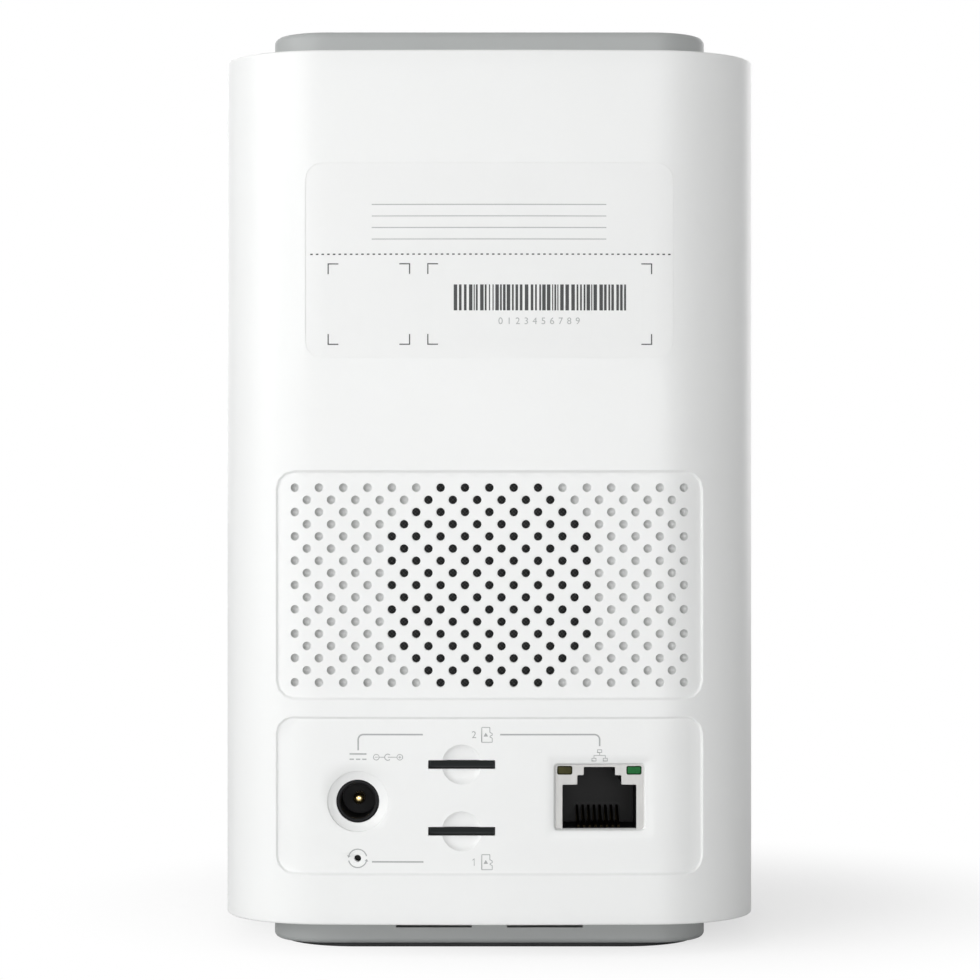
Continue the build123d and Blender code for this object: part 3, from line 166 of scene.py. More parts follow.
def round_turns(count):
    """Even angles once round."""
    return 2 * math.pi * np.arange(count) / count


def outline(turn, inset):
    """Plan point whose outward normal is turned by `turn` from -Y: the centre of its side arc or of its
    corner, plus (that radius less the inset) times the normal."""
    turn = np.asarray(turn, float)
    quarter = np.floor(turn / QUARTER)
    within = turn - quarter * QUARTER
    normal, before, after = heading(turn), heading(quarter * QUARTER), compass(quarter * QUARTER)
    corner = corner_centre * (before + after) + (corner_radius - inset) * normal
    first = -arc_centre * before + (side_arc - inset) * normal
    last = -arc_centre * after + (side_arc - inset) * normal
    within = within[..., None]
    return np.where(within <= side_turn, first, np.where(within >= QUARTER - side_turn, last, corner))


def back_y(x, inset):
    """The y of the back at an x, moved inwards: on the shallow arc, or past its end on the corner circle."""
    x = np.abs(x)
    inset = np.broadcast_to(inset, x.shape)
    on_arc = arc_centre - np.sqrt((side_arc - inset) ** 2 - x**2)
    reach = np.clip(x - corner_centre, 0, None)
    on_corner = -corner_centre - np.sqrt(np.clip((corner_radius - inset) ** 2 - reach**2, 0, None))
    return np.where(x <= (side_arc - inset) * math.sin(side_turn), on_arc, on_corner)


def on_back(flat, inset):
    """Points (x, z) laid on the back, an inset inside it."""
    return coords(flat[..., 0], back_y(flat[..., 0], inset), flat[..., 1])


def flat_at(flat, y):
    """Points (x, z) at one depth."""
    return coords(flat[..., 0], y, flat[..., 1])


# Points of the plan: on a side's arc, round a corner, on a corner up to the back patch, and on the patch
arc_points, corner_points, part_points, edge_points, back_points = 17, 25, 14, 8, 31


def wrap_turns(inset):
    """Normal angles of the body from the back patch's right edge round the front to its left edge."""
    start = math.asin((back_reach - corner_centre) / (corner_radius - inset))
    turns = [np.linspace(start, QUARTER - side_turn, part_points)]
    for side in (1, 2, 3):
        turns.append(np.linspace(side * QUARTER - side_turn, side * QUARTER + side_turn, arc_points)[1:])
        end, points = (side + 1) * QUARTER - side_turn, corner_points
        if side == 3:
            end, points = 4 * QUARTER - start, part_points
        turns.append(np.linspace(side * QUARTER + side_turn, end, points)[1:])
    return np.concatenate(turns)


arc_end = side_arc * math.sin(side_turn)
back_xs = np.concatenate([np.linspace(-back_reach, -arc_end, edge_points),
                          np.linspace(-arc_end, arc_end, back_points)[1:],
                          np.linspace(arc_end, back_reach, edge_points)[1:]])


def body_ring(inset):
    """Closed plan of the body, anticlockwise from the back patch's left edge, moved inwards."""
    return np.vstack([coords(back_xs, back_y(back_xs, inset)), outline(wrap_turns(inset)[1:-1], inset)])


def level(ring, z):
    """A plan ring at a height."""
    return coords(*ring.T, z)


corner_steps = 14


def square_ring(half_width, corner, back_share=np.linspace(-1, 1, 9)):
    """Rounded square, anticlockwise from its right back corner: quarter circles about the corner centres,
    joined by straights. The places along each straight are shares of its half length."""
    turns = np.linspace(0, QUARTER, corner_steps + 1)
    centre = half_width - corner
    ring = []
    for side in range(4):
        normal = heading(side * QUARTER + turns)
        along = normal[-1, ::-1] * np.array([-1, 1])
        ring.append(centre * (normal[0] + normal[-1]) + corner * normal)
        ring.append(half_width * normal[-1] + centre * back_share[1:-1, None] * along)
    return np.vstack(ring)


def square_toward(ring, half_width, corner):
    """Where rays from the middle through a ring's points meet a rounded square: on its side, or else on its
    corner circle, found by solving |ray - centre| = corner."""
    unit = ring / np.linalg.norm(ring, axis=1)[:, None]
    across, along = np.abs(unit).max(1), np.abs(unit).min(1)
    reach = half_width / across
    centre = half_width - corner
    both = centre * (across + along)
    on_corner = both + np.sqrt(np.clip(both**2 - 2 * centre**2 + corner**2, 0, None))
    return unit * np.where(along * reach <= centre, reach, on_corner)[:, None]


def cell(xs, zs):
    """Grid of points (x, z), a row for each z."""
    return np.stack(np.meshgrid(xs, zs), -1)


def round_rises(straight, corner, turn, up):
    """Even rows of a straight, and past both its ends those that part a quarter circle into even turns."""
    curve = corner * np.sin(np.linspace(0, QUARTER, turn + 1))[1:]
    rows = np.linspace(-straight, straight, up + 1)
    return np.concatenate([-straight - curve[::-1], rows, straight + curve])


def round_cell(centre, width, height, corner, across, turn, up):
    """Grid of a rounded rectangle: each row is as wide as the rectangle is at its height, so rows in the
    corners follow quarter circles. `turn` rows make each corner and `up` rows the straight between."""
    straight = height / 2 - corner
    rise = round_rises(straight, corner, turn, up)
    past = np.clip(np.abs(rise) - straight, 0, corner)
    wide = width / 2 - corner + np.sqrt(np.clip(corner**2 - past**2, 0, None))
    share = np.linspace(-1, 1, across + 1)
    return coords(centre[0] + wide[:, None] * share, centre[1] + rise[:, None])


def rim(grid):
    """The border of a grid once round: first row, last column, last row back, first column back."""
    return np.concatenate([grid[0, :-1], grid[:-1, -1], grid[-1, :0:-1], grid[:0:-1, 0]])


def round_rim(centre, radius, across, up):
    """Circle with as many points as the border of a cell, a quarter turn to each side."""
    sides = [across, up, across, up]
    turns = [(-135 + 90 * side + 90 * np.arange(count) / count) for side, count in enumerate(sides)]
    return np.array(centre) + radius * compass(np.radians(np.concatenate(turns)))


def between(first, last, steps):
    """Rings shared out evenly between two rings."""
    share = np.linspace(0, 1, steps + 1)[:, None, None]
    return first * (1 - share) + last * share


def even(low, high, step):
    """Even places from low to high, about a step apart."""
    return np.linspace(low, high, max(2, round((high - low) / step) + 1))


class Skin:
    """A mesh in millimetres, gathered from grids of points whose touching edges are joined at the end."""

    def __init__(self):
        self.points, self.faces, self.count = [], [], 0

    def grid(self, points, closed=False, openings=()):
        """Faces between the neighbouring points of a grid; closed joins its last column to its first.
        Openings are (row, first column, last column) of faces left out."""
        rows, columns = points.shape[:2]
        index = self.count + np.arange(rows * columns).reshape(rows, columns)
        if closed:
            index = np.column_stack([index, index[:, 0]])
        corners = np.stack([index[:-1, :-1], index[:-1, 1:], index[1:, 1:], index[1:, :-1]], -1)
        kept = np.ones(corners.shape[:2], bool)
        for row, first, last in openings:
            kept[row, first:last] = False
        self.faces.append(corners[kept])
        self.points.append(points.reshape(-1, 3))
        self.count += rows * columns

    def tube(self, rings):
        """Faces between closed rings of points, one after another."""
        self.grid(np.stack(rings), closed=True)

    def piece(self, name, slot, *replaced, **options):
        """The finished piece: doubles merged, faces outwards, smooth but for its creases."""
        corners = np.vstack(self.faces)
        mesh = bpy.data.meshes.new(name)
        mesh.vertices.add(self.count)
        mesh.vertices.foreach_set("co", (np.vstack(self.points) * MILLIMETRE).ravel())
        mesh.loops.add(corners.size)
        mesh.loops.foreach_set("vertex_index", corners.ravel())
        mesh.polygons.add(len(corners))
        mesh.polygons.foreach_set("loop_start", np.arange(len(corners)) * 4)
        mesh.update(calc_edges=True)
        clean(mesh, 1e-6, 1e-7)
        return placed(name, mesh, slot, *replaced, **options)


def clean(mesh, joined, thinnest=None):
    """Merges doubles, takes out faces thinner than a distance and turns the rest outwards, in metres."""
    whole = bmesh.new()
    whole.from_mesh(mesh)
    bmesh.ops.remove_doubles(whole, verts=whole.verts, dist=joined)
    if thinnest:
        bmesh.ops.dissolve_degenerate(whole, edges=whole.edges, dist=thinnest)
    bmesh.ops.recalc_face_normals(whole, faces=whole.faces)
    whole.to_mesh(mesh)
    whole.free()


def placed(name, mesh, slot, *replaced, finish=None, crease=32.0):
    """Makes a mesh a piece of the object, riding on the housing. Its finish is its slot's if none is named;
    edges sharper than the crease, in degrees, are shaded hard."""
    mesh.shade_smooth()
    mesh.set_sharp_from_angle(angle=math.radians(crease))
    mesh.materials.append(finishes[finish or slot])
    made = bpy.data.objects.new(name, mesh)
    scene.collection.objects.link(made)
    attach(made, "housing")
    if replaced:
        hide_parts(*replaced)
    return made


# Finishes: arithmetic on shader values, then one function for each kind of surface


def maths(operation, turned=False):
    """A method that adds one Math node to a value; turned puts the value last."""
    def method(self, *others):
        values = (*others, self) if turned else (self, *others)
        return self.nodes.node("ShaderNodeMath", {"operation": operation}, dict(enumerate(values)))
    return method


class Value:
    """A shader value that adds its own Math nodes when it is used in arithmetic."""

    def __init__(self, nodes, socket):
        self.nodes, self.socket = nodes, socket

    __add__ = __radd__ = maths("ADD")
    __mul__ = __rmul__ = maths("MULTIPLY")
    __sub__, __rsub__ = maths("SUBTRACT"), maths("SUBTRACT", turned=True)
    __truediv__ = maths("DIVIDE")
    over, largest, power = maths("GREATER_THAN"), maths("MAXIMUM"), maths("POWER")
    wave, whole, size = maths("SINE"), maths("ROUND"), maths("ABSOLUTE")

    def step(self, low, high):
        """0 below low, 1 above high, smooth between."""
        return self.nodes.node("ShaderNodeMapRange", {"interpolation_type": "SMOOTHSTEP"},
                               {"Value": self, "From Min": low, "From Max": high})


class Nodes:
    """A shader node tree, built from values."""

    def __init__(self, tree):
        self.tree = tree

    def link(self, value, socket):
        """Carries a value to a socket."""
        self.tree.links.new(value.socket, socket)

    def node(self, kind, settings, sockets, output=0):
        """Adds a node: its settings first, then the values or links of its sockets."""
        made = self.tree.nodes.new(kind)
        for key, value in settings.items():
            setattr(made, key, value)
        for key, value in sockets.items():
            if isinstance(value, Value):
                self.link(value, made.inputs[key])
            else:
                made.inputs[key].default_value = value
        return Value(self, made.outputs[output])

    def ray(self, kind):
        """1 where a ray is of one kind."""
        return self.node("ShaderNodeLightPath", {}, {}, "Is %s Ray" % kind)


class Finish(Nodes):
    """One material, built node by node round a Principled shader."""

    def __init__(self, name, colour, roughness, **constants):
        self.material = bpy.data.materials.new(name)
        self.material.use_nodes = True
        super().__init__(self.material.node_tree)
        self.shader = self.tree.nodes["Principled BSDF"]
        self.shader.inputs["Base Color"].default_value = (*colour, 1)
        self.shader.inputs["Roughness"].default_value = roughness
        self.colour, self.roughness = colour, roughness
        for socket, value in constants.items():
            self.shader.inputs[socket.replace("_", " ").title().replace("Ior", "IOR")].default_value = value
        self.place = self.node("ShaderNodeTexCoord", {}, {}, "Object")

    def noise(self, scale, detail=2.0, place=None):
        """Smooth noise at a scale, over the object's place unless another is given."""
        sockets = {"Vector": place or self.place, "Scale": scale, "Detail": detail}
        return self.node("ShaderNodeTexNoise", {}, sockets)

    def axes(self):
        """The object's x, y and z as values, in metres."""
        split = self.node("ShaderNodeSeparateXYZ", {}, {"Vector": self.place})
        outputs = split.socket.node.outputs
        return [Value(self, outputs[axis]) for axis in ("X", "Y", "Z")]

    def stretched(self, scale):
        """Object place with each axis scaled by its own number."""
        return self.node("ShaderNodeMapping", {}, {"Vector": self.place, "Scale": scale})

    def mixed(self, share, first, last):
        """A colour between two, by a share."""
        first = first if isinstance(first, Value) else (*first, 1)
        last = last if isinstance(last, Value) else (*last, 1)
        return self.node("ShaderNodeMix", {"data_type": "RGBA"}, {0: share, 6: first, 7: last}, 2)

    def feed(self, socket, value):
        """Links a value to one of the shader's sockets."""
        self.link(value, self.shader.inputs[socket])

    def bump(self, height, distance, strength=1.0):
        """Feeds the Normal from a height; distance is its size in metres."""
        self.feed("Normal", self.node("ShaderNodeBump", {}, {"Height": height, "Distance": distance,
                                                             "Strength": strength}))

    def vary(self, share, depth):
        """Base colour that darkens by a depth where a share is 1."""
        self.feed("Base Color", self.mixed(share, self.colour, tuple(c * (1 - depth) for c in self.colour)))

    def pattern(self, value, edges, colours, gloss, distance=0.0, relief=None):
        """Base colour from one to another as a value climbs between two edges, roughness `gloss` = (gain,
        least) of it, and a bump of it, or of a relief, where a distance is given."""
        self.feed("Base Color", self.mixed(value.step(*edges), *colours))
        self.feed("Roughness", value * gloss[0] + gloss[1])
        if distance:
            self.bump(relief or value, distance)
        return self.material


def moulded(name, colour, roughness, grain=0.00035, height=0.000008, depth=0.02, **constants):
    """Moulded plastic: fine spark-eroded grain, broad faint flow marks in colour and gloss."""
    made = Finish(name, colour, roughness, **constants)
    flow = made.noise(28.0, 3.0)
    speckle = made.noise(1 / grain)
    made.vary(flow.step(0.35, 0.65), depth)
    made.feed("Roughness", flow * 0.05 + speckle * 0.08 + (roughness - 0.065))
    made.bump(speckle, height)
    return made.material


# Painted shade in the grille's holes: its soft edge about the hole's radius, and how far it fades sideways
painted_shade_inside, painted_shade_outside, painted_shade_reach = 0.04, 0.03, 0.95


def grille_white_painted_shade(name, colour, hole_shade_colour, roughness, **constants):
    """White moulding with painted shade in the grille's holes: greyer there, most on their left, as the
    photograph shows them.
    The place is turned into the lattice's own axes, and its distance from the nearest whole point tells a
    hole there."""
    made = Finish(name, colour, roughness, **constants)
    x, _, z = made.axes()
    pitch = hole_pitch * MILLIMETRE
    z = z - grille_z * MILLIMETRE
    first, second = [along - along.whole() for along in ((x + z) / pitch, (x - z) / pitch)]
    reach = ((first * first + second * second) * 0.5).power(0.5) * pitch
    outside = reach.step((hole_radius - painted_shade_inside) * MILLIMETRE, (hole_radius + painted_shade_outside) * MILLIMETRE)
    past_last = (lattice_rows // 2 + 0.25) * pitch
    outside = outside.largest(x.size().over(past_last)).largest(z.size().over(past_last / 2 + pitch / 8))
    rightwards = ((first + second) * (pitch / 2)).step(-painted_shade_reach * MILLIMETRE, painted_shade_reach * MILLIMETRE)
    # Painted shade: grey inside each hole, darkest on its left, fading to the white on its right
    made.feed("Base Color", made.mixed(outside, made.mixed(rightwards, hole_shade_colour, colour), colour))
    speckle = made.noise(2900.0)
    made.feed("Roughness", speckle * 0.08 + (roughness - 0.04))
    made.bump(speckle, 0.000008)
    return made.material


def sheet_metal(name, colour, roughness, stretch=(400, 4000, 4000), depth=0.06):
    """Rolled and plated sheet: fine lines along one axis, and a slow change of tone."""
    made = Finish(name, colour, roughness, metallic=1.0)
    lines = made.noise(1.0, 3.0, made.stretched(stretch))
    made.vary(made.noise(140.0).step(0.3, 0.7), depth)
    made.feed("Roughness", lines * 0.16 + (roughness - 0.08))
    made.bump(lines, 0.000004)
    return made.material


def soft_rubber(name, colour, roughness, grain=0.0006):
    """Rubber or foam: matt, with a pebbled skin and a dusty bloom."""
    made = Finish(name, colour, roughness)
    pebble = made.node("ShaderNodeTexVoronoi", {}, {"Vector": made.place, "Scale": 1 / grain})
    bloom, dusty = made.noise(90.0, 3.0), tuple(c * 1.35 + 0.004 for c in colour)
    return made.pattern(bloom, (0.45, 0.7), (colour, dusty), (0.1, roughness - 0.05), 0.00002, pebble)


def board_green(name):
    """Circuit board: green mask over branching copper tracks, with small tinned pads in rows."""
    made = Finish(name, (0.014, 0.085, 0.038), 0.32, coat_weight=0.3, coat_roughness=0.15)
    x, y, _ = made.axes()
    bend = made.noise(160.0, 1.0) * 5.0
    along, across = (x * 2600.0 + bend).wave().size(), (y * 2100.0 + bend).wave().size()
    tracks = along.over(0.86).largest(across.over(0.9))
    made.feed("Base Color", made.mixed(tracks, made.colour, (0.03, 0.15, 0.06)))
    dot = made.node("ShaderNodeTexVoronoi", {}, {"Vector": made.place, "Scale": 420.0, "Randomness": 0.35})
    made.feed("Metallic", (1.0 - dot.step(0.16, 0.2)) * 0.9)
    made.feed("Roughness", made.noise(600.0) * 0.1 + 0.27)
    made.bump(tracks, 0.00003)
    return made.material


def woven_cloth(name):
    """Acoustic cloth: a plain weave of fine dark threads."""
    made = Finish(name, (0.055, 0.057, 0.057), 0.85)
    x, _, z = made.axes()
    weave = (x * 9000.0).wave() * (z * 9000.0).wave()
    threads = (0.045, 0.0465, 0.0465), (0.1, 0.102, 0.102)
    return made.pattern(weave, (-0.5, 0.8), threads, (0.05, 0.84), 0.00006)


def pressed_paper(name):
    """Treated paper cone: fibres and shallow rings about the speaker's axis."""
    made = Finish(name, (0.03, 0.03, 0.031), 0.7)
    x, _, z = made.axes()
    rise = z - grille_z * MILLIMETRE
    rings = ((x * x + rise * rise).power(0.5) * 5200.0).wave()
    fibre = made.noise(1500.0, 4.0)
    return made.pattern(fibre, (0.4, 0.65), ((0.02, 0.02, 0.021), (0.05, 0.05, 0.048)), (0.15, 0.62), 0.00006,
                        rings * 0.5 + fibre)


def wound_copper(name):
    """Enamelled wire: close turns along the coil's axis."""
    made = Finish(name, (0.62, 0.25, 0.11), 0.3, metallic=1.0)
    turns = (made.axes()[1] * 31000.0).wave()
    return made.pattern(turns, (-0.4, 0.9), ((0.25, 0.08, 0.04), (0.72, 0.32, 0.15)), (0.06, 0.3), 0.00005)


def ferrite(name):
    """Sintered magnet: dark, matt and speckled."""
    made = Finish(name, (0.055, 0.055, 0.06), 0.55, metallic=0.3)
    grain = made.noise(2600.0, 4.0)
    return made.pattern(grain, (0.42, 0.62), ((0.035, 0.035, 0.038), (0.1, 0.1, 0.105)), (0.2, 0.45), 0.00002)


def lamp_window(name, colour, glow):
    """Jack light window: a tinted block lit faintly by its lamp, its tone and glow varying in soft clouds."""
    made = Finish(name, colour, 0.3, specular_ior_level=0.04, emission_strength=1.0)
    cloud = made.noise(500.0)
    made.feed("Emission Color", made.mixed(cloud.step(0.3, 0.7), glow, tuple(c * 0.8 for c in glow)))
    return made.pattern(cloud, (0.35, 0.65), (colour, tuple(c * 0.75 for c in colour)), (0.1, 0.25))


def clear_rod(name):
    """Frosted light pipe: pale clear plastic with faint bubbles."""
    made = Finish(name, (0.86, 0.88, 0.9), 0.25, transmission_weight=0.45)
    frost = (0.84, 0.86, 0.88), (0.92, 0.93, 0.94)
    return made.pattern(made.noise(1800.0), (0.4, 0.6), frost, (0.2, 0.2), 0.00001)


def printed(name, colour):
    """Screen-printed ink: thin, matt, a little broken at its edges."""
    made = Finish(name, colour, 0.6)
    broken = made.noise(5200.0, 3.0)
    made.vary(broken.step(0.45, 0.75), -0.12)
    made.feed("Roughness", broken * 0.12 + 0.54)
    return made.material


WHITE = (0.86, 0.868, 0.862)
finishes = {
    "white_shell": moulded("white_moulding", WHITE, 0.42, depth=0.008, coat_weight=0.06, coat_roughness=0.3),
    "label_film": moulded("label_film", (0.868, 0.875, 0.869), 0.5, 0.0008, 0.000004, 0.01),
    "grey_plastic": moulded("grey_moulding", (0.4, 0.413, 0.41), 0.5, depth=0.03),
    "foot_rubber": soft_rubber("foot_rubber", (0.022, 0.023, 0.024), 0.8),
    "screw_steel": sheet_metal("zinc_screw", (0.55, 0.56, 0.58), 0.32),
    "chassis_plastic": moulded("black_chassis", (0.028, 0.028, 0.03), 0.55, depth=0.15),
    "circuit_board": board_green("board_mask"),
    "black_plastic": moulded("black_housing", (0.006, 0.006, 0.0065), 0.4, grain=0.0002, depth=0.15,
                             specular_ior_level=0.12),
    "soft_pad": soft_rubber("silicone_pad", (0.32, 0.34, 0.42), 0.7),
    "sink_aluminium": sheet_metal("extruded_aluminium", (0.74, 0.75, 0.77), 0.34, (3000, 60, 3000)),
    "nickel_sheet": sheet_metal("nickel_sheet", (0.68, 0.67, 0.64), 0.3),
    "jack_sheet": sheet_metal("jack_sheet", (0.37, 0.367, 0.36), 0.5, (3000, 3000, 300), 0.03),
    "gold_contact": sheet_metal("gold_flash", (0.95, 0.72, 0.32), 0.25),
    "amber_window": lamp_window("olive_window", (0.055, 0.052, 0.02), (0.008, 0.007, 0.002)),
    "green_window": lamp_window("green_window", (0.018, 0.125, 0.036), (0.003, 0.035, 0.008)),
    "speaker_mesh": woven_cloth("speaker_cloth"),
    "foam": soft_rubber("gasket_foam", (0.025, 0.025, 0.026), 0.9, 0.0003),
    "basket_steel": sheet_metal("black_steel", (0.12, 0.12, 0.125), 0.4),
    "magnet_ferrite": ferrite("magnet_ferrite"),
    "cone_paper": pressed_paper("cone_paper"),
    "coil_copper": wound_copper("coil_copper"),
    "suspension_cloth": soft_rubber("cone_edge_rubber", (0.02, 0.02, 0.021), 0.75),
    "cable_jacket": soft_rubber("cable_jacket", (0.02, 0.02, 0.021), 0.6, 0.0009),
    "lamp_white": moulded("lamp_body", (0.8, 0.8, 0.74), 0.4, depth=0.04),
    "clear_acrylic": clear_rod("clear_light_pipe"),
}
# Grille moulding whose holes carry painted shade
finishes["grille_white_painted_shade"] = grille_white_painted_shade("grille_moulding_painted_shade", WHITE, (0.42, 0.425, 0.42), 0.42, coat_weight=0.06,
                                        coat_roughness=0.3)
# Painted glow: the card sockets and sliders give off a faint grey light though they are no lamps, lifting the
# shade inside the card slots to an even grey
bay_painted_glow = {"emission_color": (0.019, 0.021, 0.021, 1), "emission_strength": 1.0}
for name, colour, roughness, depth, specular, glow in (
        ("barrel_black", (0.008, 0.008, 0.009), 0.5, 0.15, 0.14, {}),
        ("slot_black", (0.042, 0.044, 0.045), 0.55, 0.1, 0.2, {}),
        ("card_bay_painted_glow", (0.05, 0.052, 0.053), 0.6, 0.1, 0.2, bay_painted_glow)):
    finishes[name] = moulded(name, colour, roughness, 0.0002, depth=depth, specular_ior_level=specular,
                             **glow)
finishes["frame_amber_window"] = lamp_window("olive_frame", (0.02, 0.019, 0.006), (0.002, 0.002, 0.001))
finishes["frame_green_window"] = lamp_window("green_frame", (0.006, 0.035, 0.01), (0.001, 0.006, 0.002))
# Painted shade: the network socket's gilt contacts are made nearly black, standing in for the shade deep
# inside the socket
finishes["painted_shade_contact"] = sheet_metal("jack_contact_gold_painted_shade", (0.014, 0.011, 0.006), 0.5)
for name, colour in (("grey_ink", (0.4, 0.41, 0.41)), ("dark_ink", (0.045, 0.047, 0.048)),
                     ("pale_ink", (0.42, 0.43, 0.43))):
    finishes[name] = printed(name, colour)
worn_by = {"ethernet_jack_contacts": "painted_shade_contact"}
# Card sockets and sliders wear the painted glow finish
for level_name in ("lower", "upper"):
    worn_by["sd_socket_base_" + level_name] = worn_by["sd_slider_" + level_name] = "card_bay_painted_glow"
slot_of = {part["node"]: part["material_slot"] for part in frame["record"]["subparts"]}
for node_name, node in frame["nodes"].items():
    node.data.materials.clear()
    node.data.materials.append(finishes[worn_by.get(node_name, slot_of[node_name])])


# The sleeve's bands, from the port panel up: place, size and corner of each window, and its rows in a
# corner and between them; the label's recess has a gap about the label
label_gap = 0.15
bands = ((port_z, panel_width, port_height, panel_corner, 3, 14),
         (grille_z, panel_width, grille_height, panel_corner, 3, 18),
         (label_z, label_width + 2 * label_gap, label_height + 2 * label_gap, label_corner + label_gap,
          3, 26))
outside_steps, inside_steps, rounding_steps = 6, 4, 6


def outer_sleeve():
    """White sleeve as a closed shell. The back is three cells with a window or recess each, the rest is the
    plan outline carried up, a quarter round turns in both ends, and the inner wall is the same, inset."""
    skin = Skin()
    parted = [(port_z + port_height / 2 + grille_z - grille_height / 2) / 2,
              (grille_z + grille_height / 2 + label_z - label_height / 2) / 2]
    for inset, steps, ends in ((0.0, outside_steps, (body_bottom + edge_round, body_top - edge_round)),
                               (wall, inside_steps, (body_bottom, body_top - shoulder))):
        lows, column = [ends[0], *parted, ends[1]], []
        for low, high, (window_z, width, height, corner, turn, up) in zip(lows, lows[1:], bands):
            zs = np.linspace(low, high, 2 * turn + up + 1)
            column.append(zs if not column else zs[1:])
            hole = round_cell((0, window_z), width, height, corner, len(back_xs) - 1, turn, up)
            recess = window_z == label_z
            if recess and inset:
                skin.grid(on_back(cell(back_xs, zs), wall))
                skin.tube([on_back(rim(hole), depth) for depth in (0, label_depth)])
                skin.grid(on_back(hole, label_depth))
                continue
            skin.grid(on_back(between(rim(cell(back_xs, zs)), rim(hole), steps), inset), closed=True)
            if inset:
                skin.tube([on_back(rim(hole), depth) for depth in (0, wall / 2, wall)])
        ring = outline(wrap_turns(inset), inset)
        ring[0, 1] = ring[-1, 1] = back_y(np.array([back_reach]), inset)[0]
        skin.grid(np.stack([level(ring, z) for z in np.concatenate(column)]))
    turn = np.linspace(0, QUARTER, rounding_steps + 1)
    rounding = [(body_ring(edge_round * (1 - np.cos(t))), edge_round * np.sin(t)) for t in turn]
    rim_ring, under = rounding[-1][0], body_ring(wall)
    mouth = square_toward(rim_ring, mouth_width / 2, mouth_corner)
    top = [level(ring, body_top - edge_round + rise) for ring, rise in rounding]
    top += [level(ring, body_top) for ring in between(rim_ring, mouth, 3)[1:]]
    skin.tube(top + [level(mouth, body_top - shoulder), level(under, body_top - shoulder)])
    low = [level(ring, body_bottom + edge_round - rise) for ring, rise in rounding]
    skin.tube(low + [level(under, body_bottom)])
    skin.piece("sleeve_shell", "white_shell", "outer_sleeve")


ramp_points = 7


def ramp_rings(rim_at):
    """Soft step round a back panel, from the body's face in to the panel's: the depth follows a smooth S
    over the ramp's width. rim_at gives the panel's rim drawn in by a distance."""
    share = np.linspace(0, 1, ramp_points)
    return np.stack([on_back(rim_at(ramp_width * s), panel_depth * s * s * (3 - 2 * s)) for s in share])


def mirrored_ring(bottom, corner, right):
    """Closed ring from its bottom side, right lower corner and right side, mirrored both ways."""
    once = np.vstack([bottom, corner, right, corner[::-1] * np.array([1, -1])])
    return np.vstack([once, -once])


def grille_panel():
    """Perforated panel. Each hole owns the square of the lattice turned by 45 degrees about it, whose edge
    is at pitch/2 over (|cos| + |sin|); rings run from there over a rounded lip down the hole. Holes in the
    round middle field go through to the back face, the others end in a shallow round bottom."""
    skin = Skin()
    around = 12
    angle = round_turns(around)
    spokes = compass(angle)
    tooth = hole_pitch / 2
    edge = tooth / np.abs(spokes).sum(1)
    rows = range(lattice_rows)
    places = np.array([((column - (lattice_rows - row % 2 - 1) / 2) * hole_pitch,
                        ((lattice_rows - 1) / 2 - row) * hole_pitch / 2)
                       for row in rows for column in range(lattice_rows - row % 2)])
    through = np.hypot(places[:, 0], places[:, 1]) <= field_radius
    places[:, 1] += grille_z
    full = np.full(around, hole_radius)

    def holes(centres, radii, insets):
        """A tube at each centre: a ring for each set of radii, at its inset."""
        for centre in centres:
            flat = centre + np.stack(radii)[..., None] * spokes
            skin.grid(on_back(flat, np.array(insets)[:, None]), closed=True)

    def mouth(lip):
        """Radii and insets of a hole's rounded lip, from the edge of its square to its wall."""
        radii = [edge, full + lip + lip_flat, full + lip, full]
        return radii, [panel_depth + lip * depth for depth in (0, 0, 0, 1)]

    radii, front = mouth(hole_lip)
    holes(places[through], radii + [full, edge], front + [panel_back, panel_back])
    radii, front = mouth(blind_lip)
    turns = np.linspace(0, QUARTER, bowl_steps + 1)[1:]
    bowl = [full * math.cos(turn) for turn in turns]
    deep = [panel_depth + blind_lip + (blind_depth - blind_lip) * math.sin(turn) for turn in turns]
    holes(places[~through], radii + bowl, front + deep)
    holes(places[~through], [edge, edge * 0.0], [panel_back, panel_back])
    # Border between the lattice's zigzag edge and the ramp, on the front and on the back face
    quarter = angle[:around // 4 + 1]
    share = np.sin(quarter) / (np.sin(quarter) + np.cos(quarter))

    def teeth(count):
        """Places along one side, and how far the lattice reaches out there: out at holes, in between them."""
        steps = np.append(2 * np.arange(count)[:, None] + np.append(share[:-1], 1 + share[:-1]), 2 * count)
        return (steps - count) * tooth, tooth * np.abs(steps % 2 - 1)

    (along_x, out_x), (along_z, out_z) = teeth(lattice_rows - 1), teeth((lattice_rows - 1) // 2)
    middle_place = np.array([0, grille_z])
    slant = coords(along_x[-1] + tooth * share[1:-1], along_z[0] - tooth * (1 - share[1:-1]))
    zigzag = middle_place + mirrored_ring(coords(along_x, along_z[0] - out_x), slant,
                                          coords(along_x[-1] + out_z, along_z))

    def rim_at(spread):
        """The panel's rounded rectangle on as many points as the zigzag, drawn in by a distance."""
        wide, high = panel_width / 2 - panel_corner, grille_height / 2 - panel_corner
        radius = panel_corner - spread
        turn = QUARTER * np.linspace(0, 1, len(share))[1:-1]
        return middle_place + mirrored_ring(coords(along_x * wide / along_x[-1], -high - radius),
                                            coords(wide, -high) + radius * heading(turn),
                                            coords(wide + radius, along_z * high / along_z[-1]))

    skin.grid(ramp_rings(rim_at), closed=True)
    skin.grid(on_back(between(zigzag, rim_at(ramp_width), 3), panel_depth), closed=True)
    skin.grid(on_back(between(zigzag, rim_at(0), 3), panel_back), closed=True)
    skin.tube([on_back(rim_at(0), inset) for inset in (0, panel_back)])
    skin.piece("grille_skin", "white_shell", "rear_grille_panel", finish="grille_white_painted_shade", crease=40.0)


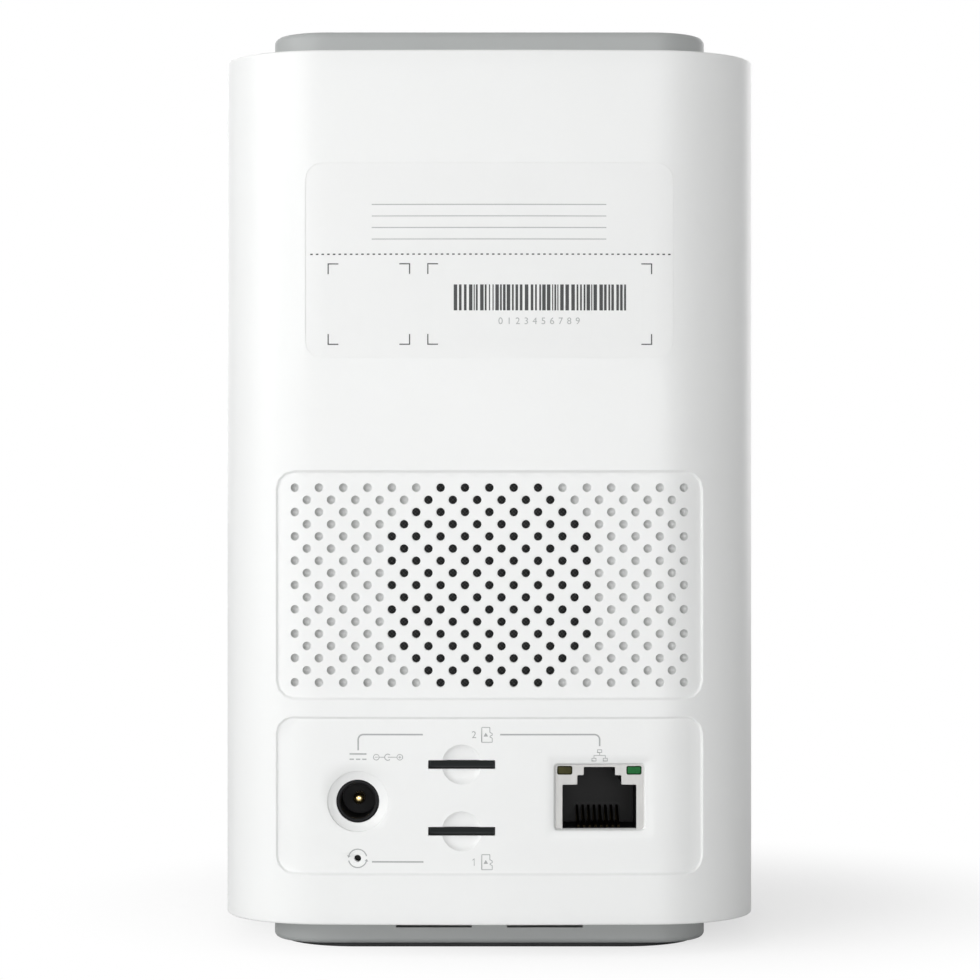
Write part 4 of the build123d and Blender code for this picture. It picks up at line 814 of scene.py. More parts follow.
# Sizes of the port panel's openings, and their edges as (spread, depth) from the panel's face inwards
power_hole_radius = 3.8
power_dish_radius = 5.4
power_dish_depth = 0.7
dish = power_dish_radius - power_hole_radius
power_dish = ((dish, 0), (dish - 0.05, 0.03), (dish - 0.09, 0.12), (dish - 0.12, 0.3), (dish - 0.2, 0.36),
              (dish * 0.12, power_dish_depth * 0.97), (0, power_dish_depth + 0.03))
pinhole_radius = 0.6
pinhole_edge = ((0.08, 0), (0.02, 0.03), (0, 0.1))
slot_width = 11.8
slot_height = 1.53
dimple_radius = 3.55
dimple_depth = 0.5
dimple_power = 8
jack_opening_width = 15.4
jack_opening_low = 22.2
jack_opening_high = 33.4
jack_opening_corner = 0.35
jack_bevel = 0.45
jack_edge = ((jack_bevel, 0), (jack_bevel * 0.8, 0.05), (jack_bevel * 0.3, jack_bevel * 1.3),
             (0.04, jack_bevel * 1.9), (0, jack_bevel * 2.1))
# Its grids: edges and steps of the columns, how far the first one's split is above the middle, rows in a
# corner and between them, and rings in a cell
column_splits, column_steps, cell_shift = (-13.2, 3.6), (20, 16, 26), 1.0
port_turn, port_up, jack_turn, border_steps, dimple_steps = 5, 20, 3, 5, 12


def port_panel():
    """Port panel: three columns of cells, each cell a border with one opening in it. The panel's corners
    come from making each row as wide as the rounded rectangle is at its height."""
    skin = Skin()
    inner_width, inner_height = panel_width - 2 * ramp_width, port_height - 2 * ramp_width
    inner_corner = panel_corner - ramp_width
    straight = inner_height / 2 - inner_corner
    zs = port_z + round_rises(straight, inner_corner, port_turn, port_up)
    across = sum(column_steps)

    def rim_at(spread):
        """The panel's rounded rectangle drawn in by a distance."""
        return rim(round_cell((0, port_z), panel_width - 2 * spread, port_height - 2 * spread,
                              panel_corner - spread, across, port_turn, port_up))

    skin.grid(ramp_rings(rim_at), closed=True)
    splits = [-inner_width / 2, *column_splits, inner_width / 2]
    columns = [np.linspace(*ends, count + 1) for *ends, count in zip(splits, splits[1:], column_steps)]

    def narrowed(flat):
        """Rows in the corner zones drawn in to the quarter circles."""
        past = np.clip(np.abs(flat[..., 1] - port_z) - straight, 0, inner_corner)
        wide = inner_width / 2 - inner_corner + np.sqrt(inner_corner**2 - past**2)
        return coords(flat[..., 0] * wide / (inner_width / 2), flat[..., 1])

    def laid(flat, depth=0.0):
        """Points at a depth behind the panel's face."""
        return on_back(narrowed(flat), panel_depth + depth)

    def ended(border, first, last):
        """A cell's border carried in to an opening's first ring, and on the back face to its last."""
        skin.grid(laid(between(border, first, border_steps)), closed=True)
        skin.grid(on_back(narrowed(between(last, border, border_steps)), panel_back), closed=True)

    def opening(xs, rows, ring_at, steps):
        """One cell: the border, and rings of (spread, depth) down to the back face."""
        counts = len(xs) - 1, len(rows) - 1
        rings = [(ring_at(spread, *counts), depth) for spread, depth in (*steps, (0, through))]
        ended(rim(cell(xs, rows)), rings[0][0], rings[-1][0])
        skin.tube([laid(ring, depth) for ring, depth in rings])

    def round_opening(z, radius):
        return lambda spread, *counts: round_rim((power_x, z), radius + spread, *counts)

    def jack_opening(spread, across, tall):
        centre = jack_x, (jack_opening_low + jack_opening_high) / 2
        height = jack_opening_high - jack_opening_low + 2 * spread
        return rim(round_cell(centre, jack_opening_width + 2 * spread, height, jack_opening_corner + spread,
                              across, jack_turn, tall - 2 * jack_turn))

    through = panel_back - panel_depth
    split = int(np.searchsorted(zs, (reset_z + power_z - power_dish_radius) / 2 + cell_shift))
    opening(columns[0], zs[:split + 1], round_opening(reset_z, pinhole_radius), pinhole_edge)
    opening(columns[0], zs[split:], round_opening(power_z, power_hole_radius), power_dish)
    opening(columns[2], zs, jack_opening, jack_edge)

    def sunk(flat):
        """Depth of a finger dimple: nearly flat inside, steep at its rim."""
        reach = np.clip(np.hypot(flat[..., 0], flat[..., 1]), 0, dimple_radius)
        return dimple_depth * (1 - (reach / dimple_radius) ** dimple_power)

    # Two card slots, each through the middle of a round finger dimple
    xs = columns[1]
    split = int(np.searchsorted(zs, sum(card_zs) / 2))
    for slot_z, rows in ((card_zs[0], zs[:split + 1]), (card_zs[1], zs[split:])):
        tall, quarter, rise = len(rows) - 1, (len(xs) - 1) // 4, slot_height / 2
        chord, start = math.sqrt(dimple_radius**2 - rise**2), math.asin(rise / dimple_radius)
        turn = np.linspace(math.pi - start, start, 4 * quarter * 2 + 1)[::4]
        flank = np.linspace(-slot_width / 2, -chord, quarter + 1)[:-1]
        top = np.concatenate([coords(flank, rise), dimple_radius * compass(turn), coords(-flank[::-1], rise)])
        side = coords(slot_width / 2, np.linspace(-rise, rise, tall + 1))
        ends = side[:-1], (side * np.array([-1, 1]))[::-1][:-1]
        centre = np.array([card_x, slot_z])
        ring = np.concatenate([(top * np.array([1, -1]))[:-1], ends[0], top[::-1][:-1], ends[1]])
        edge_x = np.concatenate([flank, np.linspace(-chord, chord, len(turn)), -flank[::-1]])
        edges = [coords(edge_x, sign * rise) for sign in (-1, 1)]
        loop = np.concatenate([edges[0][:-1], ends[0], edges[1][::-1][:-1], ends[1]])
        ended(rim(cell(xs, rows)), ring + centre, loop + centre)
        for sign, edge in zip((-1, 1), edges):
            arc = dimple_radius * coords(np.cos(turn), sign * np.sin(turn))
            bowl = between(edge[quarter:-quarter or None], arc, dimple_steps)
            skin.grid(laid(bowl + centre, sunk(bowl)))
        skin.tube([laid(loop + centre, sunk(loop)), laid(loop + centre, through)])
    outer = rim_at(0)
    skin.tube([on_back(outer, inset) for inset in (0, panel_back)])
    wide = narrowed(cell(np.concatenate([columns[0], columns[1][1:], columns[2][1:]]), zs))
    skin.grid(on_back(np.stack([outer, rim(wide)]), panel_back), closed=True)
    skin.piece("port_skin", "white_shell", "port_panel", crease=40.0)


def square_lathe(profile):
    """Skin of a rounded square carried through a profile of (half width, corner radius, height)."""
    skin = Skin()
    skin.tube([level(square_ring(w, c), z) for w, c, z in profile])
    return skin


round_points = 9


def quarter_round(half_width, corner, radius, start, sign):
    """Profile of a rounded edge: half width and corner shrink by r(1 - cos), the height moves by r sin."""
    turn = np.linspace(0, QUARTER, round_points)
    return [(half_width - radius * (1 - math.cos(t)), corner - radius * (1 - math.cos(t)),
             start + sign * radius * math.sin(t)) for t in turn]


# Half width and corner of the smallest rounded square, where a lathe's profile meets its middle, and of
# those that part the lid's flat top
SQUARE_MIDDLE = (0.001, 0.0005)
lid_rings = (SQUARE_MIDDLE, (12, 4), (24, 7), (33, 5))


def top_cap():
    """Grey lid: a plate with a rounded upper edge, hollow below, and a skirt down into the sleeve."""
    w, c = plinth_width / 2, plinth_corner
    skirt, skirt_c = skirt_width / 2, skirt_corner
    ceiling = cap_top - cap_wall
    profile = [(*size, cap_top) for size in lid_rings]
    profile += quarter_round(w, c, cap_round, cap_top - cap_round, 1)[::-1]
    profile += [(w, c, body_top), (skirt, skirt_c, body_top), (skirt, skirt_c, skirt_bottom)]
    profile += [(skirt - skirt_wall, skirt_c - skirt_wall, z) for z in (skirt_bottom, ceiling)]
    profile += [(*SQUARE_MIDDLE, ceiling)]
    square_lathe(profile).piece("cap_lid", "grey_plastic", "top_cap")


# The base's flange, and the vent slots under its back edge
flange_inset = 2.15
vent_place = 9.925
vent_width = 13.55
vent_height = 1.65


def base_plinth():
    """Grey base: a plinth with a rounded lower edge and a hollow. Its back wall has two vent slots under
    the body: faces left out of the outer and the inner wall, joined by a tube."""
    skin = Skin()
    w, c = plinth_width / 2, plinth_corner
    inner, inner_c = w - base_wall, c - base_wall
    floor = base_bottom + base_floor
    flange = half - flange_inset
    vent_low = body_bottom - vent_height
    straight = w - c
    ends = [side * vent_place + end * vent_width / 2 for side in (-1, 1) for end in (-1, 1)]
    share = np.array([-straight, *ends, straight]) / straight
    first = 4 * (corner_steps + 1) + 3 * len(ends) - 1
    outer_wall = quarter_round(w, c, base_round, base_bottom + base_round, -1)[::-1] + [(w, c, vent_low)]
    inner_wall = [(inner, inner_c, z) for z in (base_top, body_bottom, vent_low, floor)]
    profile = outer_wall + [(w, c, body_bottom), (flange, flange_corner, body_bottom),
                            (flange, flange_corner, base_top)] + inner_wall
    profile += [(*SQUARE_MIDDLE, floor), (*SQUARE_MIDDLE, base_bottom), outer_wall[0]]
    rings = [level(square_ring(*size, back_share=share), z) for *size, z in profile]
    rows = (len(outer_wall) - 1, len(outer_wall) + 4)
    openings = [(row, first + k, first + k + 1) for row in rows for k in (1, 3)]
    skin.grid(np.stack(rings), closed=True, openings=openings)
    for low_x, high_x in (ends[:2], ends[2:]):
        loop = np.array([(low_x, vent_low), (high_x, vent_low), (high_x, body_bottom), (low_x, body_bottom)])
        skin.tube([flat_at(loop, -y) for y in (w, inner)])
    skin.piece("base_plinth", "grey_plastic", "base_tray")


def rubber_foot():
    """Rubber ring under the base, with softened lower edges."""
    w, c = plinth_width / 2 - foot_inset, foot_corner
    inner, inner_c = w - foot_band, foot_inner_corner
    soft = foot_round
    profile = quarter_round(w, c, soft, soft, -1)
    profile += [(inner + soft, inner_c + soft, 0), (inner, inner_c, soft), (inner, inner_c, foot_top),
                (w, c, foot_top), profile[0]]
    square_lathe(profile).piece("foot_ring", "foot_rubber", "rubber_foot")


def label_film():
    """Sticker: a thin rounded sheet in its recess on the back."""
    skin = Skin()
    grid = round_cell((0, label_z), label_width, label_height, label_corner, across=40, turn=5,
                      up=12)
    skin.grid(on_back(grid, label_sunk))
    skin.grid(on_back(grid, label_depth))
    skin.tube([on_back(rim(grid), label_sunk), on_back(rim(grid), label_depth)])
    skin.piece("label_sheet", "label_film", "rear_label")


def turned(profile, centre, around=48):
    """Profile of (radius, y) turned about a line along Y through a place (x, z)."""
    radius, y = np.array(profile, float).T[..., None]
    angle = round_turns(around)
    return coords(centre[0] + radius * np.cos(angle), y, centre[1] + radius * np.sin(angle))


def to_box(centre, way, node):
    """Where rays from a place (x, z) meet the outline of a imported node's box: the nearer of its sides, each
    at the distance to it over the ray's share along that axis."""
    low, high = [corner[[X, Z]] for corner in extent(node)]
    reach = np.where(way > 0, high - centre, centre - low)
    return centre + way * (reach / np.maximum(np.abs(way), 1e-6)).min(1)[:, None]


# Power socket: its bore's and barrel's rims are (distance from the wall, depth from the front)
barrel_radius, barrel_length, bore_radius, bore_depth = 3.75, 1.4, 3.05, 9.0
bore_rim = ((0, bore_depth), (0, 0.4), (0.06, 0.15), (0.18, 0.03), (0.3, 0))
barrel_rim = ((0.25, 0), (0.07, 0.06), (0, 0.22), (0, barrel_length))
pin_flat, pin_dome, dome_length, pin_around = 0.12, 0.88, 0.75, 32


def power_socket():
    """Black barrel with its round bore, on its square body, and the gilt centre pin with a domed tip."""
    front, back = span("dc_jack_housing", Y)
    shoulder_y = front + barrel_length
    centre, spokes = np.array([power_x, power_z]), compass(round_turns(48))
    profile = [(0, front + bore_depth)] + [(bore_radius + out, front + depth) for out, depth in bore_rim]
    profile += [(barrel_radius - inwards, front + depth) for inwards, depth in barrel_rim]
    box = to_box(centre, spokes, "dc_jack_housing")
    skin = Skin()
    skin.grid(turned(profile, centre), closed=True)
    barrel, middle_point = centre + barrel_radius * spokes, centre + 0 * spokes
    skin.tube([flat_at(ring, y) for ring, y in (
        (barrel, shoulder_y), (box, shoulder_y), (box, back), (middle_point, back))])
    skin.piece("power_barrel", "black_plastic", "dc_jack_housing", finish="barrel_black")
    tip, root = span("dc_jack_pin", Y)
    turns = np.linspace(0, QUARTER, 11)
    dome = [(pin_flat + pin_dome * math.sin(t), tip + dome_length * (1 - math.cos(t))) for t in turns]
    profile = [(0, tip), *dome, (pin_flat + pin_dome, root), (0, root)]
    skin = Skin()
    skin.grid(turned(profile, centre, pin_around), closed=True)
    skin.piece("power_pin", "gold_contact", "dc_jack_pin")


# Card slot linings: their corner, and their section as (distance from the slot's wall, depth)
lining_corner = 0.38
lining_section = ((0.01, 1.5), (0.01, 0.15), (0.04, 0.1), (0.24, 0.8), (0.24, 1.5), (0.01, 1.5))


def card_linings():
    """Black linings of the two card slots: a frame inside each slot's walls with a sloping lead-in."""
    skin = Skin()
    for slot_z in card_zs:
        grids = [round_cell((card_x, slot_z), slot_width - 2 * spread, slot_height - 2 * spread,
                            lining_corner - spread, across=24, turn=3, up=2) for spread, _ in lining_section]
        skin.tube([on_back(rim(grid), panel_depth + depth)
                   for grid, (_, depth) in zip(grids, lining_section)])
    skin.piece("card_slot_linings", "black_plastic", finish="slot_black")


def rounded_path(points, radius, steps=4):
    """Closed path through corners, each rounded by an arc of one radius."""
    points = np.array(points, float)
    path = []
    for before, here, after in zip(np.roll(points, 1, 0), points, np.roll(points, -1, 0)):
        back, ahead = before - here, after - here
        back, ahead = back / np.linalg.norm(back), ahead / np.linalg.norm(ahead)
        opened = math.acos(np.clip(back @ ahead, -1, 1))
        centre = here + (back + ahead) / np.linalg.norm(back + ahead) * radius / math.sin(opened / 2)
        start, stop = [here + way * radius / math.tan(opened / 2) for way in (back, ahead)]
        first = math.atan2(*(start - centre)[::-1])
        swing = (math.atan2(*(stop - centre)[::-1]) - first + math.pi) % (2 * math.pi) - math.pi
        path.append(centre + radius * compass(first + swing * np.linspace(0, 1, steps + 1)))
    return np.vstack(path)


# Network socket: half widths and levels of its stepped opening, its light windows, and its sheet
opening_steps = ((6.5, 21.95), (6.5, 29.9), (3.87, 29.9), (3.87, 31.55), (2.75, 31.55), (2.75, 33.02))
opening_corner, opening_piece, ray_centre_z = 0.22, 0.8, 26.9
window_width, window_height, window_corner = 2.2, 1.07, 0.16
window_frame, frame_corner = 0.24, 0.3
sheet_proud, sheet_thick, sheet_edge, rim_share = 0.03, 0.35, 0.06, 0.02
# Rings of a window's frame: whether it is the outer one, and its depth from the sheet's face
frame_rings = ((True, 0.1), (True, -0.02), (False, -0.04), (False, 0.1), (True, 0.1))


def jack_face():
    """Sheet face of the network socket: a strip from its outer rectangle, met by rays from the plug
    opening's middle, in to the stepped opening with small round corners. It carries two framed windows."""
    face = span("ethernet_jack_shell", Y)[0] - sheet_proud
    steps = [*opening_steps, *((-x, z) for x, z in opening_steps[::-1])]
    corners = rounded_path(np.array(steps) + np.array([jack_x, 0]), opening_corner)
    straight = []
    for start, stop in zip(corners, np.roll(corners, -1, 0)):
        count = max(1, int(np.hypot(*(stop - start)) / opening_piece))
        straight.append(start + (stop - start) * np.arange(count)[:, None] / count)
    opening = np.vstack(straight)
    centre = np.array([jack_x, ray_centre_z])
    outer = to_box(centre, opening - centre, "ethernet_jack_shell")
    skin = Skin()
    inner = opening + (outer - opening) * rim_share
    skin.tube([flat_at(ring, face + depth) for ring, depth in (
        (outer, sheet_edge), (outer, 0), ((outer + opening) / 2, 0), (inner, 0), (opening, 0.04),
        (opening, sheet_thick), (outer, sheet_edge))])
    skin.piece("network_socket_face", "jack_sheet", crease=12.0)
    for node, lamp in (("jack_light_left", "amber_window"), ("jack_light_right", "green_window")):
        centre, back = middle(node)[[X, Z]], span(node, Y)[1]
        grid, frame_grid = [
            round_cell(centre, window_width + 2 * spread, window_height + 2 * spread, corner,
                       across=8, turn=3, up=3)
            for spread, corner in ((0, window_corner), (window_frame, frame_corner))]
        skin = Skin()
        skin.grid(flat_at(grid, face - sheet_proud))
        skin.tube([flat_at(rim(grid), y) for y in (face - sheet_proud, back)])
        skin.grid(flat_at(grid, back))
        skin.piece("network_" + lamp, lamp, node)
        skin = Skin()
        skin.tube([flat_at(rim(frame_grid if outside else grid), face + depth)
                   for outside, depth in frame_rings])
        skin.piece("network_frame_" + lamp, lamp, finish="frame_" + lamp)


# Status light: radii of its rod, end and collar, the collar's length, and the rounding of both ends
rod_radius, rear_radius, front_radius, collar_radius = 1.5, 1.4, 1.38, 2.6
collar_length, rear_round, front_round = 1.4, 0.1, 0.12


def front_light():
    """Light pipe of the status light: a clear rod flush with the front, with its retaining collar."""
    rear, front = span("light_pipe", Y)[0], half
    collar = front - panel_back
    collar_start = collar - collar_length
    profile = [(0, rear), (rear_radius, rear), (rod_radius, rear + rear_round), (rod_radius, collar_start),
               (collar_radius, collar_start), (collar_radius, collar), (rod_radius, collar),
               (rod_radius, front - front_round), (front_radius, front), (0, front)]
    skin = Skin()
    skin.grid(turned(profile, (0, light_z)), closed=True)
    skin.piece("status_light_pipe", "clear_acrylic", "light_pipe")


# Card springs: turns, steps in a turn and round the wire, the wire's radius, and how far they are pressed
coils, per_coil, wire_around, wire_radius, spring_travel = 14, 12, 6, 0.06, 3.02


def card_springs():
    """Coil spring behind each card catch: a thin wire wound about a line along Y, its ring of points
    carried round the helix."""
    share = np.linspace(0, 1, coils * per_coil + 1)[:, None]
    turn, across = 2 * math.pi * coils * share, round_turns(wire_around)
    for level_name in ("lower", "upper"):
        node = "sd_spring_" + level_name
        low, high = extent(node)
        centre, length = (low + high) / 2, high[Y] - low[Y]
        reach = (high[X] - low[X]) / 2 - wire_radius + wire_radius * np.cos(across)
        along = low[Y] + wire_radius + (length - 2 * wire_radius) * share + wire_radius * np.sin(across)
        tube = coords(centre[X] + reach * np.cos(turn), along, centre[Z] + reach * np.sin(turn))
        skin = Skin()
        skin.tube([0 * tube[0] + tube[0].mean(0), *tube, 0 * tube[0] + tube[-1].mean(0)])
        made = skin.piece("card_spring_" + level_name, slot_of[node], node)
        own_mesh(made)


for make in (outer_sleeve, grille_panel, port_panel, top_cap, base_plinth, rubber_foot, label_film,
             power_socket, card_linings, card_springs, jack_face, front_light):
    make()

# Printing: thin films of ink that lie on the back of the body
ink_film = 0.012


class Print:
    """Ink drawn as strokes: each path (x, z) gets a width and lies a film proud of its surface."""

    def __init__(self, inset):
        self.skin, self.inset = Skin(), inset

    def stroke(self, path, width, closed=False):
        """Ribbon about a path: offset to both sides by half the width along the path's normals."""
        path = np.asarray(path, float)
        ahead = np.roll(path, -1, 0) - path
        behind = path - np.roll(path, 1, 0)
        if not closed:
            ahead[-1], behind[0] = behind[-1], ahead[0]
        ahead /= np.linalg.norm(ahead, axis=1)[:, None]
        behind /= np.linalg.norm(behind, axis=1)[:, None]
        along = ahead + behind
        along /= np.linalg.norm(along, axis=1)[:, None]
        stretch = 1 / np.clip((along * ahead).sum(1), 0.5, 1)
        side = coords(-along[:, 1], along[:, 0]) * (width / 2 * stretch)[:, None]
        left, right = path + side, path - side
        if closed:
            left, right = np.vstack([left, left[:1]]), np.vstack([right, right[:1]])
        self.area(np.stack([left, right]))

    def area(self, flat):
        """A flat grid (x, z) as a closed film."""
        front, back = on_back(flat, self.inset - ink_film), on_back(flat, self.inset + ink_film)
        self.skin.grid(front)
        self.skin.grid(back)
        self.skin.tube([rim(front), rim(back)])

    def block(self, low_x, high_x, low_z, high_z):
        """A rectangle of ink, cut along x so that it follows the back."""
        self.area(cell(even(low_x, high_x, 2.0), np.array([low_z, high_z])))

    def piece(self, name, slot, ink):
        """The ink drawn so far, as one piece."""
        self.skin.piece(name, slot, finish=ink, crease=20.0)


def line(start, end, step=1.5):
    """Straight path cut into even steps, so that it follows the curved back."""
    start, end = np.array(start, float), np.array(end, float)
    count = max(2, int(np.hypot(*(end - start)) / step) + 1)
    return start + np.linspace(0, 1, count)[:, None] * (end - start)


def bow(centre, radius, first, last, count=13):
    """Circular path from one angle to another, in degrees from +X."""
    return np.array(centre) + radius * compass(np.radians(np.linspace(first, last, count)))


# The photograph's middle and horizon in pixels, its pixels to a millimetre, and the camera's height
photo_centre_x, photo_horizon_y, photo_scale, camera_height = 489.4, 487.2, 5.67, 82.3


def px_x(x):
    """A pixel column as x on the back of the body."""
    return (x - photo_centre_x) / photo_scale


def px_z(y):
    """A pixel row as z on the back of the body."""
    return camera_height + (photo_horizon_y - y) / photo_scale


def px(x, y):
    """A photograph pixel as (x, z) on the back of the body."""
    return px_x(x), px_z(y)


# Printing on the port panel, in pixels: leader lines, supply and polarity marks, pictures and numbers
leader_y, leader_xs, leader_gap_xs, leader_foot_ys = 733.8, (358.4, 599.4), (423, 500.1), (749.6, 745.4)
reset_leader = ((372.2, 860.8), (423.6, 860.8))
supply_bar = ((349.8, 753.2), (366.7, 753.2))
dash_xs, dash_y, dash_length = (349.8, 356.2, 362.4), 758.5, 4.3
polarity_y, ring_xs, cup_at_x, wire_xs = 756.4, (376.5, 400.0), 388.0, (379.6, 396.9)
card_pictures = (((481.8, 741.4), (492.2, 726.6)), ((481.8, 868.5), (492.2, 853.5)))
upper_number_at, lower_number_at, network_at = (474.0, 734.2), (474.2, 861.2), (599.4, 754.6)
# Their stroke widths and sizes in millimetres, and turns in degrees
leader_width, bar_width, dash_width, ring_width, cup_width, fine_width = 0.27, 0.26, 0.22, 0.13, 0.15, 0.12
leader_bend, ring_radius, cup_radius, sign_arm = 0.9, 0.5, 0.55, 0.27
arrow_radius, arrow_width, arrow_starts = 1.62, 0.2, (14, 194)
arrow_sweep, arrow_back, arrow_tip = 150, 148, 163
arrow_half, card_width, card_corner, card_arrow = 0.33, 0.14, 0.07, (0.4, 0.3, 0.4)
card_notch = ((0, 0.72), (0.42, 0.95), (0.32, 1.1), (0, 1.25), (0, 1.55), (0.42, 1.75), (0.42, None))
one_flag, one_half, one_flag_rise = 0.3, 0.62, 0.38
box_half, box_drop, branch = (0.36, 0.24), 0.75, 1.0


def port_prints():
    """Leader lines, power symbol, card pictures, reset arrows and network picture on the port panel."""
    ink = Print(panel_depth)
    (left_x, right_x), (left_gap, right_gap) = [[px_x(x) for x in xs] for xs in (leader_xs, leader_gap_xs)]
    (left_foot, right_foot), top_z, bend = [px_z(y) for y in leader_foot_ys], px_z(leader_y), leader_bend
    left = [line((left_x, left_foot), (left_x, top_z - bend), 1.0),
            bow((left_x + bend, top_z - bend), bend, 180, 90, 7)[1:],
            line((left_x + bend, top_z), (left_gap, top_z))[1:]]
    right = [line((right_gap, top_z), (right_x - bend, top_z)),
             bow((right_x - bend, top_z - bend), bend, 90, 0, 7)[1:],
             line((right_x, top_z - bend), (right_x, right_foot), 1.0)[1:]]
    for path in (np.vstack(left), np.vstack(right), line(*[px(*end) for end in reset_leader])):
        ink.stroke(path, leader_width)
    # Direct current symbol: a bar over three dashes
    ink.stroke(line(*[px(*end) for end in supply_bar]), bar_width)
    for start in dash_xs:
        ink.stroke(line(px(start, dash_y), px(start + dash_length, dash_y), 0.5), dash_width)
    # Polarity symbol: two small circles and the socket between them
    row_z, cup_x, arm = px_z(polarity_y), px_x(cup_at_x), sign_arm
    for x in [px_x(place) for place in ring_xs]:
        ink.stroke(bow((x, row_z), ring_radius, 0, 360, 17)[:-1], ring_width, closed=True)
        ink.stroke(line((x - arm, row_z), (x + arm, row_z), 0.2), fine_width)
    ink.stroke(line((x, row_z - arm), (x, row_z + arm), 0.2), fine_width)
    ink.stroke(bow((cup_x, row_z), cup_radius, 45, 315, 15), cup_width)
    for start, stop in ((px_x(wire_xs[0]), cup_x - cup_radius), (cup_x, px_x(wire_xs[1]))):
        ink.stroke(line((start, row_z), (stop, row_z), 0.5), ring_width)
    # Reset arrows about the pinhole
    centre = (power_x, reset_z)
    for first in arrow_starts:
        ink.stroke(bow(centre, arrow_radius, first, first + arrow_sweep, 15), arrow_width)
        tip, back = [bow(centre, arrow_radius, first + turn, first + turn, 1)[0]
                     for turn in (arrow_tip, arrow_back)]
        across = np.array([-(tip - back)[1], (tip - back)[0]]) / np.hypot(*(tip - back)) * arrow_half
        ink.area(np.array([[back - across, back + across], [tip, tip]]))
    # Card pictures: an outline with a notched side and an arrow head
    for low, high in card_pictures:
        (x0, z0), (x1, z1) = px(*low), px(*high)
        notched = [(x1 - inwards, z1 if rise is None else z0 + rise) for inwards, rise in card_notch]
        outline_path = rounded_path([(x0, z0), (x1, z0), *notched, (x0, z1)], card_corner, 3)
        ink.stroke(outline_path, card_width, closed=True)
        mid_x, mid_z = (x0 + notched[-1][0]) / 2, (z0 + z1) / 2
        half_arrow, drop, rise = card_arrow
        ink.area(np.array([[(mid_x - half_arrow, mid_z - drop), (mid_x + half_arrow, mid_z - drop)],
                           [(mid_x, mid_z + rise)] * 2]))
    # Plain number of the lower card slot
    x, z = px(*lower_number_at)
    figure = np.array([(x - one_flag, z + one_flag_rise), (x, z + one_half), (x, z - one_half)])
    ink.stroke(figure, fine_width)
    # Network picture: three boxes on a branching line, above the socket
    x, z = px(*network_at)
    for offset, rise in ((0, box_drop), (-branch, -box_drop), (branch, -box_drop)):
        box = np.array([(-1, -1), (1, -1), (1, 1), (-1, 1)]) * box_half
        ink.stroke(box + (x + offset, z + rise), fine_width, closed=True)
    gap = box_drop - box_half[1]
    for start, stop, step in (((0, gap), (0, 0), 0.3), ((-branch, 0), (branch, 0), 0.5),
                              ((-branch, 0), (-branch, -gap), 0.3), ((branch, 0), (branch, -gap), 0.3)):
        ink.stroke(line((x + start[0], z + start[1]), (x + stop[0], z + stop[1]), step), fine_width)
    ink.piece("port_printing", "white_shell", "grey_ink")


# Label: places in pixels of its smaller sticker, fold line, brackets, bars, ruled lines and numbers
sticker_at = ((434, 271), (643, 339))
fold_y, fold_xs = 254.6, (310.5, 673)
bracket_xs, bracket_ys = ((328.5, 409.8), (428.0, 651.2)), (264.2, 344.4)
bars_at = ((453.8, 310.7), (625.7, 284.8))
rule_xs, rule_first_y, rule_step, rules = (372, 606), 205.0, 11.5, 4
label_numbers_at = (539.0, 321.5)
# Its sizes in millimetres
sticker_inset, sticker_edge, sticker_corner, film_under = label_sunk - 0.012, 0.03, 1.0, 0.004
dot_pitch, dot_length, dot_half = 1.0, 0.45, 0.12
bracket_arm, bracket_width, rule_width = 1.8, 0.2, 0.16
bar_widths, bar_gaps, last_bar, bars_end = [0.2, 0.32, 0.46, 0.62], [0.2, 0.3, 0.42], 0.35, 0.6


def serial_sticker():
    """Second, smaller sticker inside the right pair of brackets: a thin rounded film on the label."""
    (x0, z1), (x1, z0) = [px(*place) for place in sticker_at]
    centre = (x0 + x1) / 2, (z0 + z1) / 2
    grid, small = [round_cell(centre, x1 - x0 - edge, z1 - z0 - edge, sticker_corner, across=24, turn=4, up=6)
                   for edge in (0, sticker_edge)]
    under = label_sunk + film_under
    skin = Skin()
    skin.grid(on_back(small, sticker_inset))
    skin.tube([on_back(rim(small), sticker_inset), on_back(rim(grid), under)])
    skin.grid(on_back(grid, under))
    skin.piece("serial_sticker", "label_film", crease=20.0)


def label_prints():
    """Label: dotted fold line, corner brackets, a made-up pattern of bars, and even ruled lines."""
    dark = Print(label_sunk)
    dot_z = px_z(fold_y)
    for x in np.arange(*[px_x(end) for end in fold_xs], dot_pitch):
        dark.block(x, x + dot_length, dot_z - dot_half, dot_z + dot_half)
    for ends in bracket_xs:
        for x, right in zip([px_x(end) for end in ends], (1, -1)):
            for z, up in zip([px_z(end) for end in bracket_ys[::-1]], (1, -1)):
                bracket = np.array([(x + right * bracket_arm, z), (x, z), (x, z + up * bracket_arm)])
                dark.stroke(bracket, bracket_width)
    dark.piece("label_dark_printing", "label_film", "dark_ink")
    bars = Print(sticker_inset)
    rng = np.random.default_rng(7)
    (x, low_z), (high_x, high_z) = [px(*place) for place in bars_at]
    while x < high_x - bars_end:
        width = rng.choice(bar_widths)
        bars.block(x, x + width, low_z, high_z)
        x += width + rng.choice(bar_gaps)
    bars.block(high_x - last_bar, high_x, low_z, high_z)
    bars.piece("serial_bars", "label_film", "dark_ink")
    pale = Print(label_sunk)
    for row in range(rules):
        pale.stroke(line(*[px(x, rule_first_y + rule_step * row) for x in rule_xs]), rule_width)
    pale.piece("label_ruled_lines", "label_film", "pale_ink")


